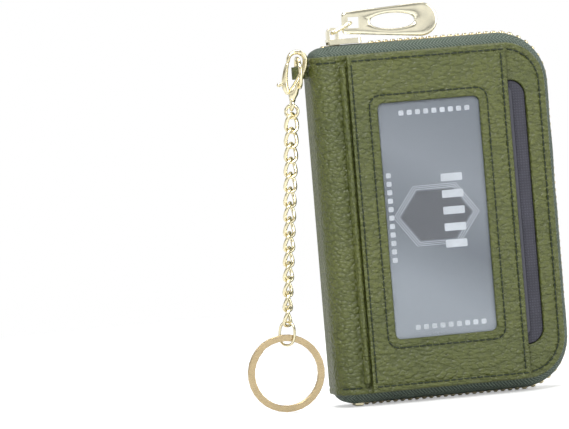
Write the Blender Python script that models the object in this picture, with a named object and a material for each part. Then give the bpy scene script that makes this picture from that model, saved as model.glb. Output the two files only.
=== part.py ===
"""Zip-round card holder: two leather covers, an accordion of dividers, a metal zip and a key chain.

Metres, +Z up. The holder stands on the teeth of its zip, its front cover towards -Y and its spine
at -X. Everything is built with the inside of the spine at x = 0, the middle of the zip at y = 0 and
the lowest teeth at z = 0. The last function then moves the whole so that the middle of its base is
the origin.
"""

import math

import bmesh
import bpy
from mathutils import Matrix, Vector
from mathutils.bvhtree import BVHTree

# Covers
cover_height = 0.114
cover_mouth_room = 0.0098
case_depth = 0.0224
leather_gauge = 0.0012
cover_corner_radius = 0.014
spine_edge_radius = 0.007
board_gauge = 0.001
board_inset = 0.0045
board_corner_radius = 0.0095
running_gap = 0.0003
overrun = 0.002

# Front pocket with its window
pocket_left = 0.0102
pocket_gauge = 0.001
card_gauge = 0.00076
card_height = 0.0856
card_width = 0.05398
card_corner_radius = 0.00318
pocket_seam_width = 0.0016
window_left_margin = 0.0092
window_right_margin = 0.0104
window_base = 0.0174
window_top_margin = 0.0171
window_corner_radius = 0.002
film_gauge = 0.00035
welt_width = 0.0023
welt_rise = 0.0021
welt_end_gap = 0.0036
slot_width = 0.0063
slot_right_margin = 0.0071
slot_base = 0.0115
slot_top_margin = 0.0127
slot_corner_radius = 0.0055
slot_tuck = 0.003

# Main zip
zip_rise = 0.0042
zip_end_share = 0.68
zip_start = 0.005
tape_gauge = 0.0006
tape_hem = 0.0024
tape_flat = 0.0019
tape_edge = 0.0023
tooth_pitch = 0.0025
tooth_length = 0.0014
tooth_height = 0.002
tooth_tip = 0.00045
tooth_root = 0.0012
tooth_back = 0.002
zip_bow_shares = ((0.36, 0.84), (0.66, 0.5), (0.88, 0.16))

# Slider of the main zip, with its link and its puller
slider_start = 0.0065
slider_length = 0.012
slider_width = 0.0072
slider_plate = 0.0009
slider_flange_width = 0.0007
slider_post_length = 0.004
slider_post_gauge = 0.0003
tooth_clearance = 0.0005
crown_length = 0.004
crown_height = 0.004
crown_setback = 0.0038
crown_gauge = 0.0009
crown_width = 0.0024
link_wire = 0.0013
link_width = 0.0056
link_reach = 0.0072
link_tilt = math.radians(65)
puller_length = 0.033
puller_end_half = 0.0037
puller_end_corner = 0.001
puller_end_bar = 0.0019
puller_large_radius = 0.0057
puller_gauge = 0.0018
puller_tilt = math.radians(1.5)
puller_eye_length = 0.004
puller_eye_half = 0.0019
puller_hole_length = 0.0154
puller_hole_width = 0.0053
puller_hole_share = 0.595

# Accordion of dividers
divider_count = 10
divider_end_room = 0.009
divider_width = 0.068
divider_gauge = 0.00035
divider_hem_gauge = 0.0005
divider_hem_width = 0.0022
cash_room = 0.0045
divider_corner_radius = 0.004
divider_root_gap = 0.0005
gusset_gauge = 0.00025
gusset_height = 0.004
gusset_inset = 0.006

# Zipped coin pocket on the back board
coin_end_room = 0.002
coin_mouth_room = 0.0025
coin_left = 0.004
coin_depth = 0.0019
coin_gauge = 0.0007
coin_rim = 0.0016
coin_corner_radius = 0.004
coin_zip_end_room = 0.009
coin_zip_width = 0.004
coin_zip_inset = 0.006
coin_coil_gauge = 0.0008
coin_slider_length = 0.0065
coin_slider_width = 0.005
coin_slider_gauge = 0.0011
coin_puller_length = 0.011
coin_puller_width = 0.0036
coin_puller_gauge = 0.0006

# D-ring, its tab and the clasp
d_ring_height = 0.012
d_ring_depth = 0.0088
d_ring_wire = 0.0015
d_ring_drop = 0.0047
d_ring_offset = 0.0038
d_ring_bar_y = -0.002
tab_height = 0.0042
tab_wall = 0.0006
clasp_width = 0.0092
clasp_length = 0.0176
clasp_gauge = 0.0024
clasp_y = -0.0052
clasp_lean = math.radians(11)
clasp_hook_inner_radius = 0.0022
clasp_hook_outer_radius = 0.0037
clasp_eye_radius = 0.0016
clasp_eye_wire = 0.0012
clasp_lever_gauge = 0.0018

# Chain and rings
chain_lean = math.radians(6)
link_count = 14
link_pitch = 0.005
chain_wire = 0.00135
chain_link_width = 0.0051
link_end_turn = math.radians(45)
first_link_turn = math.radians(20)
turn_per_link = math.radians(3.5)
jump_ring_diameter = 0.0057
jump_ring_turn = math.radians(-25)
oval_ring_length = 0.0092
oval_ring_width = 0.0073
oval_ring_wire = 0.0011
oval_ring_turn = math.radians(-45)
key_ring_diameter = 0.0262
key_ring_band = 0.00225
key_ring_gauge = 0.0008
key_ring_turn_gap = 0.00045
key_ring_step = math.radians(112)
key_ring_step_half = math.radians(15)
key_ring_end_gap = math.radians(20)
key_ring_play = 0.001

# Smoothness of round shapes
corner_steps = 6
ring_points = 20
key_ring_points = 56

# Places that follow from the sizes above
half_depth = case_depth / 2
divider_right = divider_root_gap + divider_width
right_edge = divider_right + cover_mouth_room
base_z = zip_rise
top_z = base_z + cover_height
middle_z = base_z + cover_height / 2
hinge_line = (-leather_gauge, 0, middle_z)
leather_inner = half_depth - leather_gauge
board_outer = leather_inner - running_gap
board_inner = board_outer - board_gauge
tooth_middle = zip_rise - tooth_height / 2
zip_z = top_z + tooth_middle

pocket_right = right_edge - slot_right_margin - slot_width
window_left = pocket_left + window_left_margin
window_right = pocket_right - window_right_margin
window_low = base_z + window_base
window_high = top_z - window_top_margin
divider_high = top_z - divider_end_room
divider_low = base_z + divider_end_room

LEATHER = ((0.16, 0.18, 0.07, 1), 0.5, 0)
LINING = ((0.05, 0.045, 0.05, 1), 0.8, 0)
TWILL = ((0.2, 0.24, 0.19, 1), 0.85, 0)
GOLD = ((0.83, 0.71, 0.45, 1), 0.25, 1)
CARD = ((0.45, 0.47, 0.5, 1), 0.35, 0)
FILM = ((0.75, 0.78, 0.8, 1), 0.08, 0)


def clear_scene():
    for obj in list(bpy.data.objects):
        bpy.data.objects.remove(obj, do_unlink=True)


def material(name, finish):
    colour, roughness, metallic = finish
    made = bpy.data.materials.new(name)
    made.use_nodes = True
    shader = made.node_tree.nodes["Principled BSDF"]
    shader.inputs["Base Color"].default_value = colour
    shader.inputs["Roughness"].default_value = roughness
    shader.inputs["Metallic"].default_value = metallic
    made.diffuse_color = colour
    return made


def empty_at(name, place, parent=None):
    """An empty on a joint's axis. `place` is in the holder's own coordinates."""
    empty = bpy.data.objects.new(name, None)
    bpy.context.collection.objects.link(empty)
    empty["place"] = tuple(place)
    empty.location = Vector(place)
    if parent:
        empty.parent = parent
        empty.location -= Vector(parent["place"])
    return empty


def add(name, data, finish, carrier, matrix=None):
    """Links the mesh or curve as an object whose shape is in the holder's coordinates."""
    obj = bpy.data.objects.new(name, data)
    bpy.context.collection.objects.link(obj)
    obj.data.materials.clear()
    obj.data.materials.append(material(name, finish))
    obj.parent = carrier
    local = matrix or Matrix.Identity(4)
    obj.matrix_basis = Matrix.Translation(-Vector(carrier["place"])) @ local
    if obj.type == "MESH":
        obj.data.shade_smooth()
        obj.data.set_sharp_from_angle(angle=math.radians(35))
    return obj


def mesh_from(bm, name):
    bmesh.ops.recalc_face_normals(bm, faces=bm.faces)
    mesh = bpy.data.meshes.new(name)
    bm.to_mesh(mesh)
    bm.free()
    return mesh


def prism(name, outline, low, high, axis):
    """The outline, extruded from low to high along Y (points are x, z) or along Z (points are x, y)."""
    bm = bmesh.new()

    def at(point, depth):
        first, second = point
        return (first, depth, second) if axis == "Y" else (first, second, depth)

    near = [bm.verts.new(at(point, low)) for point in outline]
    far = [bm.verts.new(at(point, high)) for point in outline]
    bm.faces.new(near)
    bm.faces.new(list(reversed(far)))
    for i, vert in enumerate(near):
        j = (i + 1) % len(near)
        bm.faces.new((vert, far[i], far[j], near[j]))
    return mesh_from(bm, name)


def arc(centre, radius, start, end, steps=corner_steps):
    """Points on a circle's stretch, with angles in degrees."""
    for i in range(steps + 1):
        angle = math.radians(start + (end - start) * i / steps)
        yield (centre[0] + radius * math.cos(angle), centre[1] + radius * math.sin(angle))


def rounded_box(left, low, right, high, left_radius, right_radius):
    """A rectangle's outline with one radius for its left corners and one for its right ones."""
    points = []
    for corner_x, corner_y, radius, start in (
        (right, high, right_radius, 0),
        (left, high, left_radius, 90),
        (left, low, left_radius, 180),
        (right, low, right_radius, 270),
    ):
        side_x = -1 if corner_x == right else 1
        side_y = -1 if corner_y == high else 1
        if radius:
            centre = (corner_x + side_x * radius, corner_y + side_y * radius)
            points.extend(arc(centre, radius, start, start + 90))
        else:
            points.append((corner_x, corner_y))
    return points


def helper(name, mesh):
    """A cutter or an addition, which itself is not a piece."""
    obj = bpy.data.objects.new(name, mesh)
    bpy.context.collection.objects.link(obj)
    obj.hide_render = True
    obj.display_type = "WIRE"
    return obj


def combine(obj, other, operation, carrier):
    other.parent = carrier
    other.matrix_basis = obj.matrix_basis
    modifier = obj.modifiers.new(other.name, "BOOLEAN")
    modifier.operation = operation
    modifier.object = other


def tube_curve(name, points, radius, resolution, cyclic):
    curve = bpy.data.curves.new(name, "CURVE")
    curve.dimensions = "3D"
    curve.bevel_depth = radius
    curve.bevel_resolution = resolution
    curve.use_fill_caps = not cyclic
    spline = curve.splines.new("POLY")
    spline.points.add(len(points) - 1)
    for spot, point in zip(spline.points, points):
        spot.co = (*point, 1)
    spline.use_cyclic_u = cyclic
    spline.use_smooth = True
    return curve


def thick_line(points, gauge):
    """The closed outline of a line of constant thickness, mitred at its bends."""
    sides = []
    for i, point in enumerate(points):
        here = Vector(point)
        before = (here - Vector(points[i - 1])).normalized() if i else None
        after = (Vector(points[i + 1]) - here).normalized() if i + 1 < len(points) else None
        along = ((before or after) + (after or before)).normalized()
        across = Vector((-along.y, along.x))
        square = Vector((-(after or before).y, (after or before).x))
        reach = gauge / 2 / max(across.dot(square), 0.5)
        sides.append((here + across * reach, here - across * reach))
    return [tuple(left) for left, _ in sides] + [tuple(right) for _, right in reversed(sides)]


# Covers


def cover_outline(side):
    """The L of a cover and its half of the spine, in x and y. `side` is -1 in front, 1 behind."""
    corner = (spine_edge_radius - leather_gauge, half_depth - spine_edge_radius)
    inner_radius = spine_edge_radius - leather_gauge
    points = [(right_edge, leather_inner), (right_edge, half_depth)]
    points.extend(arc(corner, spine_edge_radius, 90, 180))
    points.append((-leather_gauge, running_gap / 2))
    points.append((0, running_gap / 2))
    points.extend(arc(corner, inner_radius, 180, 90))
    return [(x, side * y) for x, y in points]


def cover(name, side, carrier):
    sheet = prism(name, cover_outline(side), base_z, top_z, "Z")
    obj = add(name, sheet, LEATHER, carrier)
    outline = rounded_box(-overrun - leather_gauge, base_z, right_edge, top_z, 0, cover_corner_radius)
    trim = prism(name + "_trim", outline, -half_depth - overrun, half_depth + overrun, "Y")
    combine(obj, helper(name + "_trim", trim), "INTERSECT", carrier)
    return obj


def front_cover(carrier):
    obj = cover("front_cover", -1, carrier)
    left = pocket_right - slot_tuck
    low = base_z + slot_base
    high = top_z - slot_top_margin
    outline = rounded_box(left, low, pocket_right + slot_width, high, 0, slot_corner_radius)
    cutter = prism("thumb_slot", outline, -half_depth - overrun, -leather_inner + overrun, "Y")
    combine(obj, helper("thumb_slot", cutter), "DIFFERENCE", carrier)


def board(name, side, carrier):
    outline = rounded_box(
        running_gap + spine_edge_radius,
        base_z + board_inset,
        right_edge - board_inset,
        top_z - board_inset,
        0,
        board_corner_radius,
    )
    faces = sorted((side * board_inner, side * board_outer))
    add(name, prism(name, outline, faces[0], faces[1], "Y"), LINING, carrier)


# Front pocket

pocket_back = -half_depth - running_gap
card_room = card_gauge + running_gap
pocket_sheet_back = pocket_back - card_room
pocket_face = pocket_sheet_back - pocket_gauge


def front_pocket(carrier):
    """A leather panel sewn down on three sides, open towards the thumb slot."""
    name = "front_pocket"
    low, high = base_z + running_gap, top_z - running_gap
    outline = rounded_box(pocket_left, low, pocket_right, high, 0, 0)
    obj = add(name, prism(name, outline, pocket_face, pocket_back, "Y"), LEATHER, carrier)
    seam = pocket_seam_width
    room_low = middle_z - card_height / 2 - running_gap
    room_high = middle_z + card_height / 2 + running_gap
    room = rounded_box(pocket_left + seam, room_low, pocket_right + overrun, room_high, 0, 0)
    cutter = prism("card_room", room, pocket_sheet_back, pocket_back + overrun, "Y")
    combine(obj, helper("card_room", cutter), "DIFFERENCE", carrier)
    window = rounded_box(
        window_left,
        window_low,
        window_right,
        window_high,
        window_corner_radius,
        window_corner_radius,
    )
    cutter = prism("window_cut", window, pocket_face - overrun, pocket_back + overrun, "Y")
    combine(obj, helper("window_cut", cutter), "DIFFERENCE", carrier)


def window_film(carrier):
    gap = running_gap
    outline = rounded_box(
        window_left + gap,
        window_low + gap,
        window_right - gap,
        window_high - gap,
        window_corner_radius,
        window_corner_radius,
    )
    back = pocket_sheet_back
    add("window_film", prism("window_film", outline, back - film_gauge, back, "Y"), FILM, carrier)


def window_card(carrier):
    left = pocket_left + pocket_seam_width + running_gap
    low = middle_z - card_height / 2
    radius = card_corner_radius
    outline = rounded_box(left, low, left + card_width, low + card_height, radius, radius)
    near = pocket_sheet_back + running_gap
    add("window_card", prism("window_card", outline, near, near + card_gauge, "Y"), CARD, carrier)


def spine_welt(carrier):
    """The raised strip that covers the pocket's left seam."""
    right = pocket_left - running_gap
    left = right - welt_width
    foot = pocket_back
    crown = foot - welt_rise
    third = welt_width / 3
    outline = [
        (left, foot),
        (right, foot),
        (right, foot - welt_rise / 2),
        (right - third, crown),
        (left + third, crown),
        (left, foot - welt_rise / 2),
    ]
    mesh = prism("spine_welt", outline, base_z + welt_end_gap, top_z - welt_end_gap, "Z")
    add("spine_welt", mesh, LEATHER, carrier)


# Main zip

straight_top = right_edge - cover_corner_radius - zip_start
straight_end = cover_height - 2 * cover_corner_radius
quarter = math.pi / 2 * cover_corner_radius
path_length = 2 * straight_top + 2 * quarter + straight_end


def edge_station(s):
    """The point at length s along the covers' free edge and the way out from it, in x and z."""
    radius = cover_corner_radius
    if s <= straight_top:
        return (zip_start + s, top_z), (0, 1)
    s -= straight_top
    if s < quarter:
        angle = math.pi / 2 - s / radius
        centre = (right_edge - radius, top_z - radius)
    elif s <= quarter + straight_end:
        return (right_edge, top_z - radius - (s - quarter)), (1, 0)
    elif s < 2 * quarter + straight_end:
        angle = -(s - quarter - straight_end) / radius
        centre = (right_edge - radius, base_z + radius)
    else:
        return (right_edge - radius - (s - 2 * quarter - straight_end), base_z), (0, -1)
    way = (math.cos(angle), math.sin(angle))
    return (centre[0] + radius * way[0], centre[1] + radius * way[1]), way


def zip_point(s, y, offset):
    """A point of the zip: y across, and `offset` outside the covers' edge, flatter at the end run."""
    point, way = edge_station(s)
    share = way[1] ** 2 + zip_end_share * way[0] ** 2
    reach = offset * share if offset > 0 else offset
    return (point[0] + way[0] * reach, y, point[1] + way[1] * reach)


def tooth_point(s, y, rise):
    """A point of the teeth, whose height stays the same all along the zip."""
    point, way = edge_station(s)
    share = way[1] ** 2 + zip_end_share * way[0] ** 2
    reach = tooth_middle * share + rise
    return (point[0] + way[0] * reach, y, point[1] + way[1] * reach)


def path_steps():
    """Lengths along the edge where the tape needs a ring of points."""
    corners = [quarter * i / corner_steps for i in range(corner_steps + 1)]
    first, second = straight_top, straight_top + quarter + straight_end
    return [0] + [first + c for c in corners] + [second + c for c in corners] + [path_length]


def zip_tape(name, side, carrier):
    """Twill tape sewn inside the cover's edge and bowed out to the teeth."""
    hem_y = leather_inner - running_gap - tape_gauge / 2
    inner = tape_edge + tape_gauge / 2
    flat = inner + tape_flat
    line = [(inner, tooth_middle), (flat, tooth_middle)]
    line += [(flat + (hem_y - flat) * y, tooth_middle * rise) for y, rise in zip_bow_shares]
    line += [(hem_y, -tape_gauge), (hem_y, -tape_gauge - tape_hem)]
    section = thick_line(line, tape_gauge)
    bm = bmesh.new()
    rings = []
    for s in path_steps():
        rings.append([bm.verts.new(zip_point(s, side * y, offset)) for y, offset in section])
    for one, two in zip(rings, rings[1:]):
        for i, vert in enumerate(one):
            j = (i + 1) % len(one)
            bm.faces.new((vert, two[i], two[j], one[j]))
    bm.faces.new(rings[0])
    bm.faces.new(list(reversed(rings[-1])))
    add(name, mesh_from(bm, name), TWILL, carrier)


def zip_teeth(name, side, carrier):
    """One row of teeth on the beaded edge of its tape, as one comb."""
    first = slider_start + slider_length + running_gap - zip_start
    count = int((path_length - first) / tooth_pitch)
    half = tooth_height / 2
    bm = bmesh.new()

    def pair(s, y):
        return [bm.verts.new(tooth_point(s, side * y, rise)) for rise in (-half, half)]

    backs, roots, tips = [], [], []
    for i in range(count):
        start = first + i * tooth_pitch
        for s in (start, start + tooth_length):
            backs.append(pair(s, tooth_back))
            roots.append(pair(s, tooth_root))
            tips.append(pair(s, tooth_tip))
    for i in range(len(backs) - 1):
        back, root, tip = backs[i : i + 2], roots[i : i + 2], tips[i : i + 2]
        bm.faces.new((back[0][0], back[0][1], back[1][1], back[1][0]))
        for k in (0, 1):
            bm.faces.new((back[0][k], root[0][k], root[1][k], back[1][k]))
        if i % 2:
            bm.faces.new((root[0][0], root[0][1], root[1][1], root[1][0]))
            continue
        bm.faces.new((tip[0][0], tip[0][1], tip[1][1], tip[1][0]))
        for k in (0, 1):
            bm.faces.new((root[0][k], tip[0][k], tip[1][k], root[1][k]))
            bm.faces.new((root[k][0], root[k][1], tip[k][1], tip[k][0]))
    for end in (0, -1):
        bm.faces.new((backs[end][0], backs[end][1], roots[end][1], roots[end][0]))
    add(name, mesh_from(bm, name), GOLD, carrier)


# Slider

channel = tooth_height / 2 + tooth_clearance
slider_half = channel + slider_plate
slider_middle = slider_start + slider_length / 2
crown_middle = slider_middle - crown_setback
crown_top = zip_z + slider_half + crown_height
link_x = crown_middle
link_z = crown_top - crown_gauge - running_gap - link_wire / 2
puller_x = link_x + link_reach * math.sin(link_tilt)
puller_pivot = link_z + link_reach * math.cos(link_tilt)
puller_eye_left = -link_wire / 2 - running_gap
puller_left = puller_eye_left - puller_end_bar


def block(name, low, high):
    """A box mesh between two corners."""
    bm = bmesh.new()
    bmesh.ops.create_cube(bm, size=1)
    for vert in bm.verts:
        vert.co = [a + (b - a) * (c + 0.5) for a, b, c in zip(low, high, vert.co)]
    return mesh_from(bm, name)


def zip_slider(carrier):
    """Two plates joined by a thin post, flanges that keep the teeth in, and a crown."""
    name = "zip_slider"
    end = slider_start + slider_length
    half = slider_width / 2
    bevel = slider_width / 4
    outline = rounded_box(slider_start, -half, end, half, bevel, bevel)
    plates = prism(name, outline, zip_z - slider_half, zip_z + slider_half, "Z")
    obj = add(name, plates, GOLD, carrier)
    tape_room = tape_gauge / 2 + running_gap
    wall = half - slider_flange_width
    post_start = slider_start + slider_flange_width
    post_end = post_start + slider_post_length
    post_half = slider_post_gauge / 2
    before, after = slider_start - overrun, end + overrun
    inside, outside = wall - post_half, half + overrun
    bottom, top = zip_z - channel, zip_z + channel
    slot_bottom, slot_top = zip_z - tape_room, zip_z + tape_room
    cuts = {
        "channel_front": ((before, -wall, bottom), (after, -post_half, top)),
        "channel_back": ((before, post_half, bottom), (after, wall, top)),
        "channel_exit": ((post_end, -half / 2, bottom), (after, half / 2, top)),
        "channel_mouth": ((before, -half / 2, bottom), (post_start, half / 2, top)),
        "tape_slot_front": ((before, -outside, slot_bottom), (after, -inside, slot_top)),
        "tape_slot_back": ((before, inside, slot_bottom), (after, outside, slot_top)),
    }
    for cut, (low, high) in cuts.items():
        combine(obj, helper(cut, block(cut, low, high)), "DIFFERENCE", carrier)
    left, right = crown_middle - crown_length / 2, crown_middle + crown_length / 2
    foot = zip_z + slider_half - slider_plate / 2
    inner_radius = crown_gauge
    outer_radius = 2 * crown_gauge
    bend_z = crown_top - outer_radius
    bend_right, bend_left = right - outer_radius, left + outer_radius
    arch = [(right, foot)]
    arch.extend(arc((bend_right, bend_z), outer_radius, 0, 90))
    arch.extend(arc((bend_left, bend_z), outer_radius, 90, 180))
    arch.append((left, foot))
    arch.append((left + crown_gauge, foot))
    arch.extend(arc((bend_left, bend_z), inner_radius, 180, 90))
    arch.extend(arc((bend_right, bend_z), inner_radius, 90, 0))
    arch.append((right - crown_gauge, foot))
    crown = prism("crown", arch, -crown_width / 2, crown_width / 2, "Y")
    combine(obj, helper("crown", crown), "UNION", carrier)


def puller_link(carrier):
    """The wire loop whose foot turns under the crown and whose head carries the puller."""
    half = link_width / 2 - link_wire / 2
    outline = rounded_box(-half, 0, half, link_reach, link_wire, link_wire)
    points = [(0, y, z) for y, z in outline]
    curve = tube_curve("puller_link", points, link_wire / 2, 1, True)
    matrix = Matrix.Translation((link_x, 0, link_z)) @ Matrix.Rotation(link_tilt, 4, "Y")
    add("puller_link", curve, GOLD, carrier, matrix)


def zip_puller(carrier):
    """A drop-shaped plate with an eye for the link and a long oval hole, built along x from the link."""
    name = "zip_puller"
    span = puller_left + puller_length - puller_large_radius
    lean = math.degrees(math.asin((puller_large_radius - puller_end_half) / span))
    outline = list(arc((span, 0), puller_large_radius, -90 - lean, 90 + lean, 2 * corner_steps))
    corner = puller_end_corner
    corner_x, corner_z = puller_left + corner, puller_end_half - corner
    outline += arc((corner_x, corner_z), corner, 90, 180)
    outline += arc((corner_x, -corner_z), corner, 180, 270)
    half = puller_gauge / 2
    matrix = Matrix.Translation((puller_x, 0, puller_pivot)) @ Matrix.Rotation(puller_tilt, 4, "Y")
    obj = add(name, prism(name, outline, -half, half, "Y"), GOLD, carrier, matrix)
    eye_half = puller_eye_half
    eye_right = puller_eye_left + puller_eye_length
    eye = rounded_box(puller_eye_left, -eye_half, eye_right, eye_half, eye_half / 2, eye_half / 2)
    cutter = prism("puller_eye", eye, -half - overrun, half + overrun, "Y")
    combine(obj, helper("puller_eye", cutter), "DIFFERENCE", carrier)
    middle = span * puller_hole_share
    hole = []
    for i in range(2 * corner_steps):
        angle = math.pi * i / corner_steps
        across = puller_hole_width / 2 * math.sin(angle)
        hole.append((middle + puller_hole_length / 2 * math.cos(angle), across))
    cutter = prism("puller_hole", hole, -half - overrun, half + overrun, "Y")
    combine(obj, helper("puller_hole", cutter), "DIFFERENCE", carrier)


# Accordion

coin_face = board_inner - running_gap - coin_depth
stack_back = coin_face - coin_slider_gauge - coin_puller_gauge - 3 * running_gap
stack_front = -board_inner + cash_room
divider_pitch = (stack_back - stack_front) / divider_count


def divider_y(index):
    """The middle of a divider, counted from the back."""
    return stack_back - divider_pitch * (index + 0.5)


def divider(index, carrier):
    """A lining leaf with a thicker hem along its mouth."""
    name = f"divider_{index + 1:02d}"
    y = divider_y(index)
    half, hem = divider_gauge / 2, divider_hem_gauge / 2
    right = divider_right
    shoulder = right - divider_hem_width
    outline = [
        (divider_root_gap, y - half),
        (shoulder, y - half),
        (shoulder, y - hem),
        (right, y - hem),
        (right, y + hem),
        (shoulder, y + hem),
        (shoulder, y + half),
        (divider_root_gap, y + half),
    ]
    obj = add(name, prism(name, outline, divider_low, divider_high, "Z"), LINING, carrier)
    trim_outline = rounded_box(-overrun, divider_low, right, divider_high, 0, divider_corner_radius)
    trim = prism(name + "_trim", trim_outline, y - divider_pitch, y + divider_pitch, "Y")
    combine(obj, helper(name + "_trim", trim), "INTERSECT", carrier)


def gusset(name, root_z, fold_z, carrier):
    """The pleated side of the accordion: a fold between each two dividers."""
    half = divider_pitch / 6
    line = []
    for index in range(divider_count):
        y = divider_y(index)
        line += [(y + half, root_z), (y - half, root_z)]
        if index + 1 < divider_count:
            middle = y - divider_pitch / 2
            line += [(middle + half, fold_z), (middle - half, fold_z)]
    section = thick_line(line, gusset_gauge)
    bm = bmesh.new()
    ends = []
    for x in (divider_root_gap, divider_right - gusset_inset):
        ends.append([bm.verts.new((x, y, z)) for y, z in section])
    for i, vert in enumerate(ends[0]):
        j = (i + 1) % len(ends[0])
        bm.faces.new((vert, ends[1][i], ends[1][j], ends[0][j]))
    bm.faces.new(ends[0])
    bm.faces.new(list(reversed(ends[1])))
    add(name, mesh_from(bm, name), LINING, carrier)


# Coin pocket

coin_back = board_inner - running_gap
coin_right = divider_right - coin_mouth_room
coin_low, coin_high = divider_low + coin_end_room, divider_high - coin_end_room
coin_zip_low, coin_zip_high = coin_low + coin_zip_end_room, coin_high - coin_zip_end_room
coin_zip_x = coin_right - coin_zip_inset
coin_front = coin_back - coin_depth


def coin_pocket(carrier):
    """A lining panel raised off the back board, with a slit for its zip."""
    name = "coin_pocket"
    low, high = coin_low, coin_high
    radius = coin_corner_radius
    outline = rounded_box(coin_left, low, coin_right, high, radius, radius)
    obj = add(name, prism(name, outline, coin_front, coin_back, "Y"), LINING, carrier)
    rim = coin_rim
    room = rounded_box(coin_left + rim, low + rim, coin_right - rim, high - rim, radius, radius)
    cutter = prism("coin_room", room, coin_front + coin_gauge, coin_back + overrun, "Y")
    combine(obj, helper("coin_room", cutter), "DIFFERENCE", carrier)
    half = coin_zip_width / 2
    slit = rounded_box(coin_zip_x - half, coin_zip_low, coin_zip_x + half, coin_zip_high, 0, 0)
    cutter = prism("coin_slit", slit, coin_front - overrun, coin_front + coin_gauge + overrun, "Y")
    combine(obj, helper("coin_slit", cutter), "DIFFERENCE", carrier)


def coin_zip(carrier):
    half = coin_zip_width / 2 - running_gap
    low, high = coin_zip_low + running_gap, coin_zip_high - running_gap
    outline = rounded_box(coin_zip_x - half, low, coin_zip_x + half, high, 0, 0)
    mesh = prism("coin_zip", outline, coin_front, coin_front + coin_coil_gauge, "Y")
    add("coin_zip", mesh, LINING, carrier)


coin_slider_top = coin_zip_high - running_gap


def coin_slider(carrier):
    half = coin_slider_width / 2
    low = coin_slider_top - coin_slider_length
    radius = half / 2
    outline = rounded_box(coin_zip_x - half, low, coin_zip_x + half, coin_slider_top, radius, radius)
    back = coin_front - running_gap
    mesh = prism("coin_slider", outline, back - coin_slider_gauge, back, "Y")
    add("coin_slider", mesh, GOLD, carrier)


# D-ring, tab and clasp

d_ring_x = -leather_gauge - d_ring_offset
d_ring_z = top_z - d_ring_drop
d_wire = d_ring_wire / 2
hook_top_z = d_ring_z + d_ring_height / 2 - d_wire


def d_ring(carrier):
    """A bar with a flattened bow, in the plane across the spine."""
    reach = d_ring_depth - d_ring_wire
    half = d_ring_height / 2 - d_wire
    power = 2 / 3
    points = []
    for i in range(ring_points // 2 + 1):
        angle = math.pi / 2 - math.pi * i / (ring_points // 2)
        c, s = max(math.cos(angle), 0), math.sin(angle)
        y = d_ring_bar_y - reach * c**power
        points.append((d_ring_x, y, d_ring_z + math.copysign(half * abs(s) ** power, s)))
    add("d_ring", tube_curve("d_ring", points, d_wire, 1, True), GOLD, carrier)


def ring_tab(carrier):
    """The leather loop that holds the ring's bar on the spine."""
    name = "ring_tab"
    bore = d_wire + running_gap
    reach = bore + tab_wall
    low, high = d_ring_z - tab_height / 2, d_ring_z + tab_height / 2
    spine = -leather_gauge - running_gap
    outline = [(spine, d_ring_bar_y - reach), (spine, d_ring_bar_y + reach)]
    outline += arc((d_ring_x, d_ring_bar_y), reach, 90, 270)
    obj = add(name, prism(name, outline, low, high, "Z"), LEATHER, carrier)
    hole = list(arc((d_ring_x, d_ring_bar_y), bore, 0, 330, 11))
    cutter = prism("bar_bore", hole, low - overrun, high + overrun, "Z")
    combine(obj, helper("bar_bore", cutter), "DIFFERENCE", carrier)


clasp_foot_shares = (
    (0.21, -0.55),
    (0.18, -0.75),
    (0.18, -0.82),
    (-0.18, -0.82),
    (-0.30, -0.76),
    (-0.34, -0.71),
    (-0.12, -0.62),
    (-0.12, -0.52),
)
lever_shares = (
    (-0.84, -0.135),
    (-0.90, -0.44),
    (-0.86, -0.50),
    (-1.22, -0.54),
    (-1.16, -0.62),
    (-0.74, -0.68),
    (-0.56, -0.66),
    (-0.38, -0.56),
    (-0.52, -0.45),
    (-0.56, -0.15),
)
clasp_matrix = Matrix.Translation((d_ring_x, clasp_y, hook_top_z)) @ Matrix.Rotation(clasp_lean, 4, "Y")
hook_drop = clasp_hook_inner_radius - d_wire - running_gap
eye_centre = clasp_matrix @ Vector((0, 0, -clasp_length + clasp_eye_radius))
lever_pivot = clasp_matrix @ Vector((-0.6 * clasp_width / 2, 0, -0.64 * clasp_length))


def clasp_points(shares):
    return [(x * clasp_width / 2, z * clasp_length) for x, z in shares]


def clasp_body(carrier):
    """The hook, open on its lever side, with an eye across it at the foot."""
    name = "clasp_body"
    half = clasp_gauge / 2
    centre = (0, -hook_drop)
    outline = list(arc(centre, clasp_hook_outer_radius, 190, 0, 2 * corner_steps))
    outline += clasp_points(clasp_foot_shares)
    outline += arc(centre, clasp_hook_inner_radius, 0, 190, 2 * corner_steps)
    obj = add(name, prism(name, outline, -half, half, "Y"), GOLD, carrier, clasp_matrix)
    bm = bmesh.new()
    wire = clasp_eye_wire / 2
    rings = []
    for i in range(ring_points):
        around = 2 * math.pi * i / ring_points
        ring = []
        for k in range(8):
            angle = 2 * math.pi * k / 8
            reach = clasp_eye_radius + wire * math.cos(angle)
            z = -clasp_length + clasp_eye_radius + reach * math.sin(around)
            ring.append(bm.verts.new((wire * math.sin(angle), reach * math.cos(around), z)))
        rings.append(ring)
    for i, ring in enumerate(rings):
        after = rings[(i + 1) % len(rings)]
        for k, vert in enumerate(ring):
            j = (k + 1) % len(ring)
            bm.faces.new((vert, after[k], after[j], ring[j]))
    combine(obj, helper("clasp_eye", mesh_from(bm, "clasp_eye")), "UNION", carrier)


def clasp_lever(carrier):
    name = "clasp_lever"
    half = clasp_lever_gauge / 2
    outline = clasp_points(lever_shares)
    add(name, prism(name, outline, -half, half, "Y"), GOLD, carrier, clasp_matrix)


# Chain and rings

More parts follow.
